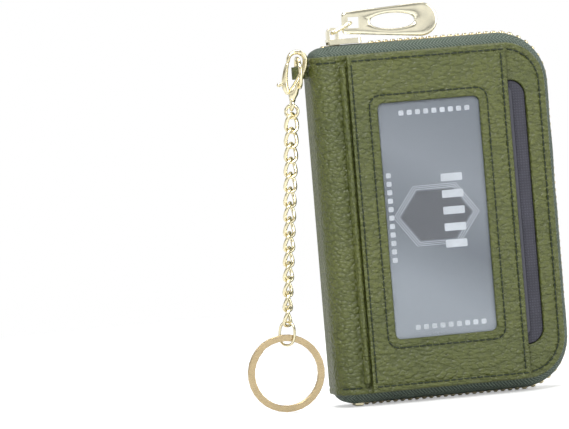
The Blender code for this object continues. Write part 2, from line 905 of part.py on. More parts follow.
chain_way = Vector((-math.sin(chain_lean), 0, -math.cos(chain_lean)))
wire_step = (chain_wire + running_gap) / 2
jump_radius = (jump_ring_diameter - chain_wire) / 2
jump_top_drop = clasp_eye_radius - clasp_eye_wire / 2 - chain_wire / 2 - running_gap
jump_centre = eye_centre + chain_way * (jump_top_drop + jump_radius)
first_pivot = jump_centre + chain_way * (jump_radius - wire_step)
last_pivot = first_pivot + chain_way * (link_pitch * link_count)
oval_step = (chain_wire + oval_ring_wire) / 4 + running_gap / 2
oval_half = (oval_ring_length - oval_ring_wire) / 2
oval_centre = last_pivot + chain_way * (oval_half - oval_step)
band_inner = key_ring_diameter / 2 - key_ring_band
ring_seat = oval_centre + chain_way * (oval_half - oval_ring_wire / 2 - key_ring_play)
key_ring_centre = ring_seat + chain_way * band_inner
key_ring_pivot = ring_seat - chain_way * (key_ring_band / 2)


def chain_frame(centre, turn):
    lean = Matrix.Rotation(chain_lean, 4, "Y")
    return Matrix.Translation(centre) @ lean @ Matrix.Rotation(turn, 4, "Z")


def loop_points(half_width, half_length, end_turn, count, power):
    """A closed oval in x and z, whose ends are turned opposite ways about z."""
    points = []
    for i in range(count):
        angle = 2 * math.pi * i / count
        c, s = math.cos(angle), math.sin(angle)
        across = half_width * math.copysign(abs(c) ** power, c)
        turn = end_turn * s
        along = half_length * math.copysign(abs(s) ** power, s)
        points.append((across * math.cos(turn), across * math.sin(turn), along))
    return points


def chain_link(index, carrier):
    name = f"chain_link_{index + 1:02d}"
    half_width = (chain_link_width - chain_wire) / 2
    half_length = link_pitch / 2 + wire_step
    points = loop_points(half_width, half_length, link_end_turn, 14, 0.85)
    curve = tube_curve(name, points, chain_wire / 2, 1, True)
    centre = first_pivot + chain_way * (link_pitch * (index + 0.5))
    turn = first_link_turn + turn_per_link * index
    add(name, curve, GOLD, carrier, chain_frame(centre, turn))


def jump_ring(carrier):
    points = loop_points(jump_radius, jump_radius, 0, 14, 1)
    curve = tube_curve("jump_ring", points, chain_wire / 2, 1, True)
    add("jump_ring", curve, GOLD, carrier, chain_frame(jump_centre, jump_ring_turn))


def oval_ring(carrier):
    half_width = (oval_ring_width - oval_ring_wire) / 2
    points = loop_points(half_width, oval_half, 0, 16, 0.85)
    curve = tube_curve("oval_ring", points, oval_ring_wire / 2, 1, True)
    add("oval_ring", curve, GOLD, carrier, chain_frame(oval_centre, oval_ring_turn))


def turn_gap(rings):
    """The smallest distance between the two turns of the finished band."""
    turn = len(rings) // 2
    points = [vert.co.copy() for ring in rings[turn + 2 :] for vert in ring]
    sides = len(rings[0])
    faces = []
    for start in range(0, len(points) - sides, sides):
        for i in range(sides):
            j = (i + 1) % sides
            faces.append((start + i, start + sides + i, start + sides + j, start + j))
    later = BVHTree.FromPolygons(points, faces)
    earlier = [vert.co for ring in rings[: turn - 1] for vert in ring]
    return min(later.find_nearest(point)[3] for point in earlier)


def key_ring(carrier):
    """A split ring: one flat band, two turns, with a step where it crosses from one to the other."""
    name = "key_ring"
    sweep = 4 * math.pi - 2 * key_ring_end_gap
    rise = (key_ring_gauge + key_ring_turn_gap) / 2
    outer, inner = key_ring_diameter / 2, band_inner
    bm = bmesh.new()
    rings = []
    for i in range(key_ring_points + 1):
        travelled = key_ring_end_gap + sweep * i / key_ring_points
        from_step = (travelled - 2 * math.pi) / key_ring_step_half
        side = max(-1, min(1, from_step))
        middle = rise * math.sin(side * math.pi / 2)
        angle = key_ring_step + travelled
        way = (math.cos(angle), math.sin(angle))
        ring = []
        for radius, y in (
            (outer, middle - key_ring_gauge / 2),
            (outer, middle + key_ring_gauge / 2),
            (inner, middle + key_ring_gauge / 2),
            (inner, middle - key_ring_gauge / 2),
        ):
            ring.append(bm.verts.new((radius * way[0], y, radius * way[1])))
        rings.append(ring)
    for one, two in zip(rings, rings[1:]):
        for i, vert in enumerate(one):
            j = (i + 1) % len(one)
            bm.faces.new((vert, two[i], two[j], one[j]))
    bm.faces.new(rings[0])
    bm.faces.new(list(reversed(rings[-1])))
    print(f"key_ring: gap between its turns {turn_gap(rings) * 1000:.3f} mm")
    matrix = Matrix.Translation(key_ring_centre)
    add(name, mesh_from(bm, name), GOLD, carrier, matrix)


def coin_puller(carrier):
    half = coin_puller_width / 2
    radius = half / 2
    top = coin_slider_top - coin_slider_length / 2
    low = top - coin_puller_length
    back = coin_front - running_gap - coin_slider_gauge - running_gap
    outline = rounded_box(coin_zip_x - half, low, coin_zip_x + half, top, radius, radius)
    mesh = prism("coin_puller", outline, back - coin_puller_gauge, back, "Y")
    add("coin_puller", mesh, GOLD, carrier)


def back_half(holder):
    cover("back_cover", 1, holder)
    board("back_board", 1, holder)
    zip_tape("zip_tape_back", 1, holder)
    zip_teeth("zip_teeth_back", 1, holder)
    coin_pocket(holder)
    coin_zip(holder)
    gusset_root = gusset_gauge / 2 + running_gap
    high, low = divider_high + gusset_root, divider_low - gusset_root
    gusset("gusset_top", high, high + gusset_height, holder)
    gusset("gusset_base", low, low - gusset_height, holder)


def front_half(holder):
    carrier = empty_at("front_cover_swing", hinge_line, holder)
    ring_tab(carrier)
    front_cover(carrier)
    board("front_board", -1, carrier)
    front_pocket(carrier)
    window_film(carrier)
    window_card(carrier)
    spine_welt(carrier)
    zip_tape("zip_tape_front", -1, carrier)
    zip_teeth("zip_teeth_front", -1, carrier)
    key_chain(carrier)


def accordion(holder):
    for index in range(divider_count):
        divider(index, empty_at(f"divider_{index + 1:02d}_fan", hinge_line, holder))


def zip_pull(holder):
    slide = empty_at("zip_slide", (slider_middle, 0, zip_z), holder)
    zip_slider(slide)
    swing = empty_at("puller_link_swing", (link_x, 0, link_z), slide)
    puller_link(swing)
    zip_puller(empty_at("puller_swing", (puller_x, 0, puller_pivot), swing))


def coin_pull(holder):
    y = coin_front - running_gap - coin_slider_gauge / 2
    slide = empty_at("coin_zip_slide", (coin_zip_x, y, coin_slider_top), holder)
    coin_slider(slide)
    pivot = coin_slider_top - coin_slider_length / 2 - coin_puller_width / 4
    face = coin_front - 2 * running_gap - coin_slider_gauge - coin_puller_gauge / 2
    coin_puller(empty_at("coin_puller_swing", (coin_zip_x, face, pivot), slide))


def key_chain(cover_carrier):
    swing = empty_at("d_ring_swing", (d_ring_x, d_ring_bar_y, d_ring_z), cover_carrier)
    d_ring(swing)
    hang = empty_at("clasp_swing", (d_ring_x, clasp_y, hook_top_z), swing)
    clasp_body(hang)
    clasp_lever(empty_at("clasp_lever_press", lever_pivot, hang))
    carrier = empty_at("jump_ring_swing", jump_centre - chain_way * jump_radius, hang)
    jump_ring(carrier)
    for index in range(link_count):
        pivot = first_pivot + chain_way * (link_pitch * index)
        carrier = empty_at(f"chain_{index + 1:02d}_bend", pivot, carrier)
        chain_link(index, carrier)
    carrier = empty_at("oval_ring_bend", last_pivot, carrier)
    oval_ring(carrier)
    key_ring(empty_at("key_ring_swing", key_ring_pivot, carrier))


def centre_on_base(holder):
    """Puts the middle of the whole model's base at the origin."""
    bpy.context.view_layer.update()
    graph = bpy.context.evaluated_depsgraph_get()
    points = []
    for obj in bpy.data.objects:
        if obj.type == "EMPTY" or obj.hide_render:
            continue
        shape = obj.evaluated_get(graph)
        mesh = shape.to_mesh()
        points.extend(obj.matrix_world @ vert.co for vert in mesh.vertices)
        shape.to_mesh_clear()
    low = Vector([min(point[i] for point in points) for i in range(3)])
    high = Vector([max(point[i] for point in points) for i in range(3)])
    holder.location = -Vector(((low.x + high.x) / 2, (low.y + high.y) / 2, low.z))


def main():
    clear_scene()
    holder = empty_at("card_holder", (0, 0, 0))
    back_half(holder)
    front_half(holder)
    accordion(holder)
    zip_pull(holder)
    coin_pull(holder)
    centre_on_base(holder)


main()
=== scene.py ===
import math

import bmesh
import bpy
from mathutils import Matrix, Vector, noise


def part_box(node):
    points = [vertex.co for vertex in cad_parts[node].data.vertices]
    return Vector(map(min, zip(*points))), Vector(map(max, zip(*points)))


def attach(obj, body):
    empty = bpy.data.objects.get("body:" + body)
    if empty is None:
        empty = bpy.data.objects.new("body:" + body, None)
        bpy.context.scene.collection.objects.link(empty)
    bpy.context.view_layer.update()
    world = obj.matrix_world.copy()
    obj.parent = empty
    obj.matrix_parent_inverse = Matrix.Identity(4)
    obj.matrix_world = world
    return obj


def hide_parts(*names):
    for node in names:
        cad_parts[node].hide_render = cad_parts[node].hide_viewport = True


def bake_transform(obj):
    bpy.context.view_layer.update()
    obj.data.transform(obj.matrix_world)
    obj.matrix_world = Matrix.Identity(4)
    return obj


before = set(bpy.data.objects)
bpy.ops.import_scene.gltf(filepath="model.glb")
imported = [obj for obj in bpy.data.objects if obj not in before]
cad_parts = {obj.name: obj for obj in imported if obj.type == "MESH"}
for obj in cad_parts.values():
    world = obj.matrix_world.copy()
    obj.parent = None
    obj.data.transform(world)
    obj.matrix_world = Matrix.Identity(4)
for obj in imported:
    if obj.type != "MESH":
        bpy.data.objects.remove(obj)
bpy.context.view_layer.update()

MM = 0.001
low_cover, high_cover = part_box("back_cover")

# Sizes of the solids in millimetres: x from the inside of the spine, y from the middle and z from
# the lowest teeth. First the covers: their edges, outer faces, gauge, corners, bend and inner faces.
BASE, TOP = 4.2, 118.2
HALF = 11.2
RIGHT = 78.3
GAUGE = 1.2
CORNER = 14.0
SPINE = 7.0
INNER = 10.0
# The front pocket, its window (left, low, right, high), the thumb slot and the seams' inset.
POCKET_LEFT, POCKET_RIGHT = 10.2, 64.9
POCKET_FACE, POCKET_BACK = 13.56, 11.5
WINDOW = (POCKET_LEFT + 9.2, BASE + 17.4, POCKET_RIGHT - 10.4, TOP - 17.1)
SLOT_RIGHT = POCKET_RIGHT + 6.3
SLOT_LOW, SLOT_HIGH = BASE + 11.5, TOP - 12.7
SEAM = 2.2
# The teeth's height over the covers' edges, its share on the free edge, the tape's bow from the teeth
# to its hem, and the x where the zip starts.
TOOTH_Z = 3.2
END_SHARE = 0.68
BOW_SHARES = ((0.36, 0.84), (0.66, 0.5), (0.88, 0.16))
START = 5.0
# How far from the middle the spine starts to follow a cover, and this origin's place in the frame.
HX = low_cover.x / MM + GAUGE
HY = high_cover.y / MM - HALF


def at(x, y, z):
    """A place in metres from millimetres on the holder."""
    return Vector(((x + HX) * MM, (y + HY) * MM, z * MM))


class Nodes:
    """The node tree of a material or a world, with short calls to add and join nodes."""

    def __init__(self, owner):
        owner.use_nodes = True
        self.owner = owner
        self.tree = owner.node_tree
        self.shader = self.tree.nodes.get("Principled BSDF")

    def put(self, socket, value):
        if isinstance(value, bpy.types.NodeSocket):
            self.tree.links.new(value, socket)
        else:
            socket.default_value = value

    def add(self, kind, inputs=None, output=0, **settings):
        """One output of a new node. Its inputs, by name or number, get a value or a link."""
        node = self.tree.nodes.new("ShaderNode" + kind)
        for key, value in settings.items():
            setattr(node, key, value)
        for key, value in (inputs or {}).items():
            self.put(node.inputs[key], value)
        return node.outputs[output]

    def math(self, kind, a, b=0.0, c=0.0, clamp=False):
        return self.add("Math", {0: a, 1: b, 2: c}, operation=kind, use_clamp=clamp)

    def mix(self, factor, a, b, blend="MIX"):
        """Two colours mixed, each red, green and blue or a link."""
        first, second = ((*colour, 1) if isinstance(colour, tuple) else colour for colour in (a, b))
        return self.add("Mix", {0: factor, 6: first, 7: second}, 2, data_type="RGBA", blend_type=blend)

    def ramp(self, factor, *stops):
        """A colour ramp through stops, each a place and a colour."""
        out = self.add("ValToRGB", {0: factor})
        elements = out.node.color_ramp.elements
        while len(elements) < len(stops):
            elements.new(0.5)
        for element, (place, colour) in zip(elements, stops):
            element.position = place
            element.color = (*colour, 1)
        return out

    def axes(self, vector):
        """The x, y and z of a vector."""
        return self.add("SeparateXYZ", {0: vector}).node.outputs

    def place(self, scale=(1, 1, 1), turn=(0, 0, 0)):
        coord = self.add("TexCoord", output="Object")
        return self.add("Mapping", {"Scale": scale, "Rotation": turn, "Vector": coord})

    def noise(self, vector, scale, detail):
        return self.add("TexNoise", {"Vector": vector, "Scale": scale, "Detail": detail}, "Fac")

    def bump(self, height, distance, strength=1.0, normal=None):
        inputs = {"Height": height, "Distance": distance, "Strength": strength}
        if normal:
            inputs["Normal"] = normal
        return self.add("Bump", inputs)

    def rays(self, kind, others, seen):
        """Shows one shader to one kind of ray, and another to all others."""
        return self.add("MixShader", {0: self.add("LightPath", output=kind), 1: others, 2: seen})

    def set(self, **values):
        names = {"colour": "Base Color", "rough": "Roughness", "metal": "Metallic", "normal": "Normal"}
        for key, value in values.items():
            self.put(self.shader.inputs[names.get(key, key.replace("_", " "))], value)
        return self.owner


def material(name):
    """The nodes of a new material."""
    return Nodes(bpy.data.materials.new(name))


def shade(colour, factor):
    """A darker or lighter colour."""
    return tuple(min(1, part * factor) for part in colour)


def leather(name):
    """Pebbled cowhide: soft elongated cells that swell between fine creases."""
    n = material(name)
    vector = n.place((0.72, 1.0, 1.2), (0, math.radians(-24), 0))
    warp = n.add("TexNoise", {"Vector": vector, "Scale": 330, "Detail": 3}, "Color")
    bent = n.add("VectorMath", {0: warp, 1: (0.001, 0.001, 0.001), 2: vector}, operation="MULTIPLY_ADD")
    cells = []
    for size in (740, 1600):
        cells.append(n.add("TexVoronoi", {"Vector": bent, "Scale": size}, "Distance", feature="F1"))
    hollow = n.math("POWER", n.math("MINIMUM", n.math("MULTIPLY", cells[0], 1.3), 1.0), 2.4)
    swell = n.math("SUBTRACT", 1.0, hollow)
    small = n.math("SUBTRACT", 1.0, n.math("POWER", n.math("MINIMUM", cells[1], 1.0), 2.0))
    height = n.math("MULTIPLY_ADD", swell, 0.72, n.math("MULTIPLY", small, 0.28))
    base = n.ramp(n.noise(vector, 55, 4), (0.3, (0.074, 0.09, 0.016)), (0.7, (0.1, 0.115, 0.022)))
    # Painted shade: the colour darkens towards the creases, where hollow is high and the bump is low.
    colour = n.mix(n.math("MULTIPLY", hollow, 0.45), base, (0.036, 0.045, 0.01))
    soft = n.bump(n.noise(vector, 150, 3), 0.0003, 0.5)
    normal = n.bump(height, 0.0005, 1.0, soft)
    rough = n.math("MULTIPLY_ADD", n.noise(vector, 900, 2), 0.2, 0.3)
    return n.set(colour=colour, normal=normal, rough=rough, Specular_IOR_Level=0.55)


def thread(name, colour):
    """Twisted thread with a diagonal wave."""
    n = material(name)
    inputs = {"Vector": n.place(), "Scale": 1400, "Distortion": 1.5}
    wave = n.add("TexWave", inputs, "Fac", bands_direction="DIAGONAL")
    # Painted shade: the colour darkens to 0.55 of itself in the twist's grooves, where the bump is low.
    tone = n.ramp(wave, (0.0, shade(colour, 0.55)), (1.0, colour))
    return n.set(colour=tone, rough=0.7, normal=n.bump(wave, 0.00006, 0.8))


def cloth(name, light, dark, fineness=2600, rough=0.85):
    """A plain close weave from a wave along each axis."""
    n = material(name)
    vector = n.place()
    inputs = {"Vector": vector, "Scale": fineness / 6.28, "Distortion": 0.6}
    x, y, z = (n.add("TexWave", inputs, "Fac", bands_direction=way) for way in "XYZ")
    weave = n.math("MULTIPLY", n.math("ADD", x, y), z)
    wear = n.ramp(n.noise(vector, 60, 4), (0.3, (0.82, 0.82, 0.82)), (0.7, (1.12, 1.12, 1.12)))
    # Painted shade: the colour goes from light on the threads to dark in the gaps between them, where the
    # bump is low.
    colour = n.mix(1, n.mix(weave, dark, light), wear, "MULTIPLY")
    return n.set(colour=colour, rough=rough, normal=n.bump(weave, 0.00012, 0.8))


# The tape's weave in millimetres: the herringbone's half width, a rib and a thread.
HERRING, RIB, YARN = 1.9, 1.15, 0.5


def tape_twill(name):
    """Herringbone of the zip tape, laid out along the tape by its UV map in millimetres."""
    n = material(name)
    uv = n.axes(n.add("UVMap", uv_map="tape"))
    along, across = uv[0], uv[1]
    slant = n.math("MULTIPLY", n.math("PINGPONG", across, HERRING), 0.9)
    phase = n.math("MULTIPLY", n.math("ADD", along, slant), 2 * math.pi / RIB)
    rib = n.math("MULTIPLY_ADD", n.math("SINE", phase), 0.5, 0.5)
    yarn = n.math("SINE", n.math("MULTIPLY", across, 2 * math.pi / YARN))
    thin = n.math("MULTIPLY_ADD", yarn, 0.5, 0.5)
    weave = n.math("MULTIPLY_ADD", rib, 0.75, n.math("MULTIPLY", thin, 0.25))
    # Painted shade: the colour is dark in the valleys of the twill and light on its raised ribs, following
    # the bump.
    dark, middle, light = (0.028, 0.042, 0.03), (0.085, 0.115, 0.088), (0.175, 0.215, 0.175)
    tone = n.ramp(weave, (0.05, dark), (0.55, middle), (1.0, light))
    fuzz = n.bump(n.noise(n.place(), 2400, 2), 0.00005, 0.5)
    return n.set(colour=tone, rough=0.8, normal=n.bump(weave, 0.00026, 1.0, fuzz))


def gold(name, colour=(0.86, 0.78, 0.53), rough=0.14):
    """Pale gold plating with faint polish marks and dull spots."""
    n = material(name)
    vector = n.place()
    tone = n.ramp(n.noise(vector, 260, 4), (0.3, shade(colour, 0.93)), (0.7, shade(colour, 1.05)))
    marks = n.noise(n.place((1, 1, 9)), 1300, 2)
    gloss = n.math("MULTIPLY_ADD", marks, 0.12, rough - 0.05)
    dents = n.bump(n.noise(vector, 90, 2), 0.00012, 0.5)
    normal = n.bump(n.noise(vector, 500, 2), 0.00002, 0.3, dents)
    return n.set(colour=tone, metal=1.0, rough=gloss, normal=normal)


def clear_film(name):
    """Clear window film with a ripple and scuffs."""
    n = material(name)
    ripple = n.bump(n.noise(n.place(), 28, 2), 0.0008, 0.25)
    scuffs = n.math("MULTIPLY_ADD", n.noise(n.place((1, 1, 0.4)), 700, 4), 0.18, 0.03)
    return n.set(colour=(0.6, 0.65, 0.7, 1), rough=scuffs, normal=ripple, Alpha=0.06, IOR=1.5)


def card_print(name):
    """Blue-grey card with soft bands across it, and the dark edge that the thumb slot shows."""
    n = material(name)
    coord = n.add("TexCoord", output="Object")
    x, _, z = n.axes(coord)
    along = n.math("MULTIPLY_ADD", x, 4.0, n.math("DIVIDE", z, 0.1224))
    tone = n.ramp(
        n.math("MULTIPLY_ADD", n.noise(coord, 18, 2), 0.12, along),
        (0.14, (0.25, 0.278, 0.31)),
        (0.38, (0.235, 0.262, 0.295)),
        (0.55, (0.098, 0.114, 0.136)),
        (0.74, (0.18, 0.2, 0.228)),
        (0.92, (0.12, 0.138, 0.162)),
    )
    edge = n.math("GREATER_THAN", x, at(POCKET_RIGHT - 2, 0, 0).x)
    colour = n.mix(edge, tone, (0.055, 0.056, 0.072))
    return n.set(colour=colour, rough=0.4, normal=n.bump(n.noise(coord, 3000, 2), 0.00002, 0.4))


def plain(name, colour, rough):
    """A smooth coating with faint clouds and a fine grain."""
    n = material(name)
    vector = n.place()
    tone = n.ramp(n.noise(vector, 150, 3), (0.3, shade(colour, 0.85)), (0.7, shade(colour, 1.12)))
    return n.set(colour=tone, rough=rough, normal=n.bump(n.noise(vector, 900, 3), 0.00004, 0.6))


LEATHER = leather("leather")
THREAD = thread("thread", (0.024, 0.036, 0.018))
LINING_THREAD = thread("lining_thread", (0.05, 0.048, 0.052))
TAPE = tape_twill("zip_tape_twill")
LINING = cloth("lining_twill", (0.045, 0.043, 0.05), (0.008, 0.008, 0.01))
PLEAT = cloth("divider_satin", (0.06, 0.058, 0.066), (0.014, 0.013, 0.016), 3600, 0.6)
GOLD = gold("pale_gold")
GOLD_TEETH = gold("tooth_gold", (0.76, 0.66, 0.42), 0.2)
PULLER_GOLD = gold("puller_gold", (0.91, 0.86, 0.66), 0.13)
RING_GOLD = gold("ring_gold", (0.56, 0.44, 0.26), 0.26)
FILM = clear_film("window_film")
CARD = card_print("card_print")
CARD_MARK = plain("card_mark", (0.5, 0.53, 0.57), 0.4)
CARD_DARK = plain("card_dark", (0.05, 0.052, 0.062), 0.35)
SLOT = cloth("slot_lining", (0.07, 0.07, 0.092), (0.04, 0.04, 0.054), 2200, 0.75)
COIL = plain("coin_zip_coil", (0.03, 0.03, 0.034), 0.35)


def link(name, data):
    """A new object in the scene."""
    obj = bpy.data.objects.new(name, data)
    bpy.context.scene.collection.objects.link(obj)
    return obj


def modify(obj, name, kind, **settings):
    """Adds a modifier with its settings."""
    modifier = obj.modifiers.new(name, kind)
    for key, value in settings.items():
        setattr(modifier, key, value)


def make(name, shape, mat, body, *nodes):
    """A smooth piece of a mesh or bmesh, which rides on a body, if named, and replaces the nodes named."""
    mesh = to_mesh(shape, name) if isinstance(shape, bmesh.types.BMesh) else shape
    obj = link(name, mesh)
    mesh.materials.clear()
    mesh.materials.append(mat)
    mesh.shade_smooth()
    mesh.set_sharp_from_angle(angle=math.radians(38))
    if body:
        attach(obj, body)
    if nodes:
        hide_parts(*nodes)
    return obj


def repaint(node, mat):
    """Gives another material to a solid that is shown as it is."""
    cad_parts[node].data.materials.clear()
    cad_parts[node].data.materials.append(mat)


def box_of(node):
    """The low and the high corner of a node's box, in millimetres on the holder."""
    return [(corner.x / MM - HX, corner.y / MM - HY, corner.z / MM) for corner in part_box(node)]


def to_mesh(bm, name):
    bmesh.ops.recalc_face_normals(bm, faces=bm.faces)
    mesh = bpy.data.meshes.new(name)
    bm.to_mesh(mesh)
    bm.free()
    return mesh


def cad_mesh(node):
    """The node's own mesh, with the points of neighbouring faces joined."""
    bm = bmesh.new()
    bm.from_mesh(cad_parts[node].data)
    bmesh.ops.remove_doubles(bm, verts=bm.verts, dist=1e-6)
    return bm


def cad_copy(name, node, mat, body, bevel, segments, angle):
    """The node's own shape with its edges rounded."""
    bm = cad_mesh(node)
    bmesh.ops.dissolve_limit(bm, angle_limit=math.radians(1), verts=bm.verts, edges=bm.edges)
    obj = make(name, bm, mat, body, node)
    sizes = {"width": bevel * MM, "segments": segments, "angle_limit": math.radians(angle)}
    modify(obj, "round", "BEVEL", limit_method="ANGLE", harden_normals=True, **sizes)


def circle_angles(count):
    return [2 * math.pi * i / count for i in range(count)]


def arc(cx, cz, radius, start, end, steps):
    """Points on an arc, with its start and end in degrees."""
    for i in range(steps + 1):
        a = math.radians(start + (end - start) * i / steps)
        yield cx + radius * math.cos(a), cz + radius * math.sin(a)


def rounded(left, low, right, high, left_radius, right_radius, steps=10):
    """The outline of a rectangle with rounded corners on its left and right."""
    points = []
    for cx, cz, radius, start in (
        (right - right_radius, high - right_radius, right_radius, 0),
        (left + left_radius, high - left_radius, left_radius, 90),
        (left + left_radius, low + left_radius, left_radius, 180),
        (right - right_radius, low + right_radius, right_radius, 270),
    ):
        if radius:
            points.extend(arc(cx, cz, radius, start, start + 90, steps))
        else:
            points.append((cx, cz))
    return points


def join_loops(bm, one, two):
    """Faces between two closed loops with the same number of points."""
    for i, vert in enumerate(one):
        j = (i + 1) % len(one)
        bm.faces.new((vert, two[i], two[j], one[j]))


def join_rows(bm, rows):
    """Faces between open rows of points."""
    for one, two in zip(rows, rows[1:]):
        for k in range(len(one) - 1):
            bm.faces.new((one[k], two[k], two[k + 1], one[k + 1]))


def tube(bm, rings):
    """Joins closed rings in turn and closes both ends."""
    for one, two in zip(rings, rings[1:]):
        join_loops(bm, one, two)
    bm.faces.new(rings[0])
    bm.faces.new(list(reversed(rings[-1])))


def slab(bm, outline, y0, y1):
    """A flat solid between two depths, from its outline in x and z."""
    tube(bm, [[bm.verts.new(at(x, y, z)) for x, z in outline] for y in (y0, y1)])


def plate(name, outline, y0, y1, mat, body):
    """A flat piece between two depths."""
    bm = bmesh.new()
    slab(bm, outline, y0, y1)
    make(name, bm, mat, body)


def sweep(bm, points, radius, sides, closed=False):
    """A round wire along world points, added to the mesh."""
    rings = []
    count = len(points)
    up = Vector((0, 1, 0))
    for i, point in enumerate(points):
        before = points[i - 1] if i or closed else point
        after = points[(i + 1) % count] if i + 1 < count or closed else point
        along = (after - before).normalized()
        side = along.cross(up)
        if side.length < 0.2:
            side = along.cross(Vector((1, 0, 0)))
        side.normalize()
        up = side.cross(along).normalized()
        ring = []
        for a in circle_angles(sides):
            ring.append(bm.verts.new(point + side * radius * math.cos(a) + up * radius * math.sin(a)))
        rings.append(ring)
    if not closed:
        tube(bm, rings)
        return
    first, last = rings[0], rings[-1]
    shift = min(range(sides), key=lambda s: (last[0].co - first[s].co).length)
    for one, two in zip(rings, rings[1:] + [first[shift:] + first[:shift]]):
        join_loops(bm, one, two)


def lengths(points):
    """How far along a polyline each of its points lies."""
    out = [0.0]
    for a, b in zip(points, points[1:]):
        out.append(out[-1] + math.dist(a, b))
    return out


def resample(points, pitch):
    """Pairs of start and end of each stitch along a polyline in x and z."""
    along = lengths(points)
    count = max(1, round(along[-1] / pitch))
    step = along[-1] / count

    def spot(s):
        for i in range(1, len(points)):
            if s <= along[i] + 1e-9:
                span = along[i] - along[i - 1]
                t = (s - along[i - 1]) / span if span else 0
                return [a + (b - a) * t for a, b in zip(points[i - 1], points[i])]
        return list(points[-1])

    return [(spot(i * step + step * 0.12), spot((i + 1) * step - step * 0.12)) for i in range(count)]


def cover_depth(x):
    """How far the covers' outer face lies from the middle at this x, where the spine rounds off."""
    from_bend = SPINE - GAUGE - x
    if from_bend <= 0:
        return HALF
    return HALF - SPINE + math.sqrt(max(SPINE**2 - from_bend**2, 0))


STITCH_PITCH = 2.3
THREAD_RADIUS = 0.24
THREAD_SINK = 0.22
# A stitch's places from its start to its end, with its height over the leather.
STITCH_RISE = ((0, -0.28), (0.12, 0.0), (0.32, 0.12), (0.68, 0.12), (0.88, 0.0), (1, -0.28))


def stitches(name, lines, body):
    """Sewn thread. A line is points (x, z), the depth of its face at an x, and the way out along y."""
    bm = bmesh.new()
    for points, depth, way in lines:
        for (x0, z0), (x1, z1) in resample(points, STITCH_PITCH):
            path = []
            for t, rise in STITCH_RISE:
                x = x0 + (x1 - x0) * t
                y = way * (depth(x) + rise + THREAD_RADIUS - THREAD_SINK)
                path.append(at(x, y, z0 + (z1 - z0) * t))
            sweep(bm, path, THREAD_RADIUS * MM, 6)
    make(name, bm, THREAD, body)


# How far a leather face lies below its full height at each distance from its edge.
ROLL = ((0.0, 0.5), (0.06, 0.3), (0.2, 0.12), (0.42, 0.03), (0.7, 0.0))
# The same beside the seam, at each distance from it.
GROOVE = ((-0.8, -0.02), (-0.42, 0.05), (-0.18, 0.15), (0.0, 0.19))
GROOVE += ((0.18, 0.15), (0.42, 0.05), (0.9, -0.02))
# From the middle of the spine along the wrapped leather: its bend, the flat cover and the free edge.
SPINE_HALF = HALF - SPINE
U_FLAT = SPINE_HALF + math.pi / 2 * SPINE
U_END = U_FLAT + RIGHT - SPINE + GAUGE


def side_inset(inset, share):
    """Past the rolled edge a seam may run closer to one side than to the others."""
    rolled = ROLL[-1][0]
    return inset if inset < rolled else rolled + (inset - rolled) * share


def panel_sides(box, radius, inset, shares, columns, rows):
    """An inset outline's upper and lower runs, with its corners, and the places along both ends."""
    left, low, right, high = box
    left += side_inset(inset, shares[0])
    right -= side_inset(inset, shares[1])
    low, high = low + inset, high - inset
    bend = max(radius - inset, 0)
    upper = [(left + bend + (right - left - 2 * bend) * i / columns, high) for i in range(columns + 1)]
    if radius:
        upper = list(arc(left + bend, high - bend, bend, 180, 90, 12))[:-1] + upper
        upper += list(arc(right - bend, high - bend, bend, 90, 0, 12))[1:]
    lower = [(x, low + high - z) for x, z in upper]
    steps = [high - bend + (low - high + 2 * bend) * k / rows for k in range(1, rows)]
    return upper, lower, [(left, z) for z in steps], [(right, z) for z in steps]


def panel_face(bm, place, rings, rows, relief):
    """Fills the last ring with columns of points between its upper and lower runs."""
    upper, lower, left, right, (high_run, low_run, depth) = rings[-1]
    columns = [[upper[0], *left, lower[0]]]
    for i in range(1, len(upper) - 1):
        x, high = high_run[i]
        inner = []
        for k in range(1, rows):
            z = high + (low_run[i][1] - high) * k / rows
            inner.append(bm.verts.new(place(x, z, depth + relief(x, z))))
        columns.append([upper[i], *inner, lower[i]])
    columns.append([upper[-1], *right, lower[-1]])
    join_rows(bm, columns)


def no_relief(x, z):
    return 0.0


def panel(place, box, radius, seam, thickness, columns, rows, shares=(1, 1), relief=no_relief):
    """A leather panel with a rolled edge, drawn down along its seam."""
    bm = bmesh.new()
    edges = []
    face = list(ROLL) + [(seam + along, depth) for along, depth in GROOVE]
    back = [(0.0, thickness - 0.35), (0.1, thickness - 0.1), (0.35, thickness)]
    for profile, shape in ((face, relief), (back, no_relief)):
        rings = []
        for inset, depth in profile:
            runs = panel_sides(box, radius, inset, shares, columns, rows)
            sides = [[bm.verts.new(place(x, z, depth)) for x, z in run] for run in runs]
            rings.append((*sides, (runs[0], runs[1], depth)))
        loops = [up + right + low[::-1] + left[::-1] for up, low, left, right, _ in rings]
        edges.append(loops[0])
        for one, two in zip(loops, loops[1:]):
            join_loops(bm, one, two)
        panel_face(bm, place, rings, rows, shape)
    join_loops(bm, edges[0], edges[1])
    return bm


# How far a cutter reaches past its box, at each depth below the face that it enters.
FLARE = ((0.9, -0.6), (0.36, 0.0), (0.14, 0.1), (0.03, 0.24), (0.0, 0.45))


def flared_cutter(box, left_radius, right_radius, face, thickness):
    """A cutter that leaves a rounded edge on the front face that it enters."""
    bm = bmesh.new()
    rings = []
    for grow, depth in FLARE + ((0.0, thickness + 0.6),):
        left, low, right, high = box
        left_grow = grow if left_radius else 0
        sides = (left - left_grow, low - grow, right + grow, high + grow)
        outline = rounded(*sides, left_radius + left_grow, right_radius + grow)
        rings.append([bm.verts.new(at(x, depth - face, z)) for x, z in outline])
    tube(bm, rings)
    return to_mesh(bm, "cutter")


def box_mesh(low, high):
    bm = bmesh.new()
    bmesh.ops.create_cube(bm, size=1)
    for vert in bm.verts:
        vert.co = [a + (b - a) * (c + 0.5) for a, b, c in zip(at(*low), at(*high), vert.co)]
    return to_mesh(bm, "box")


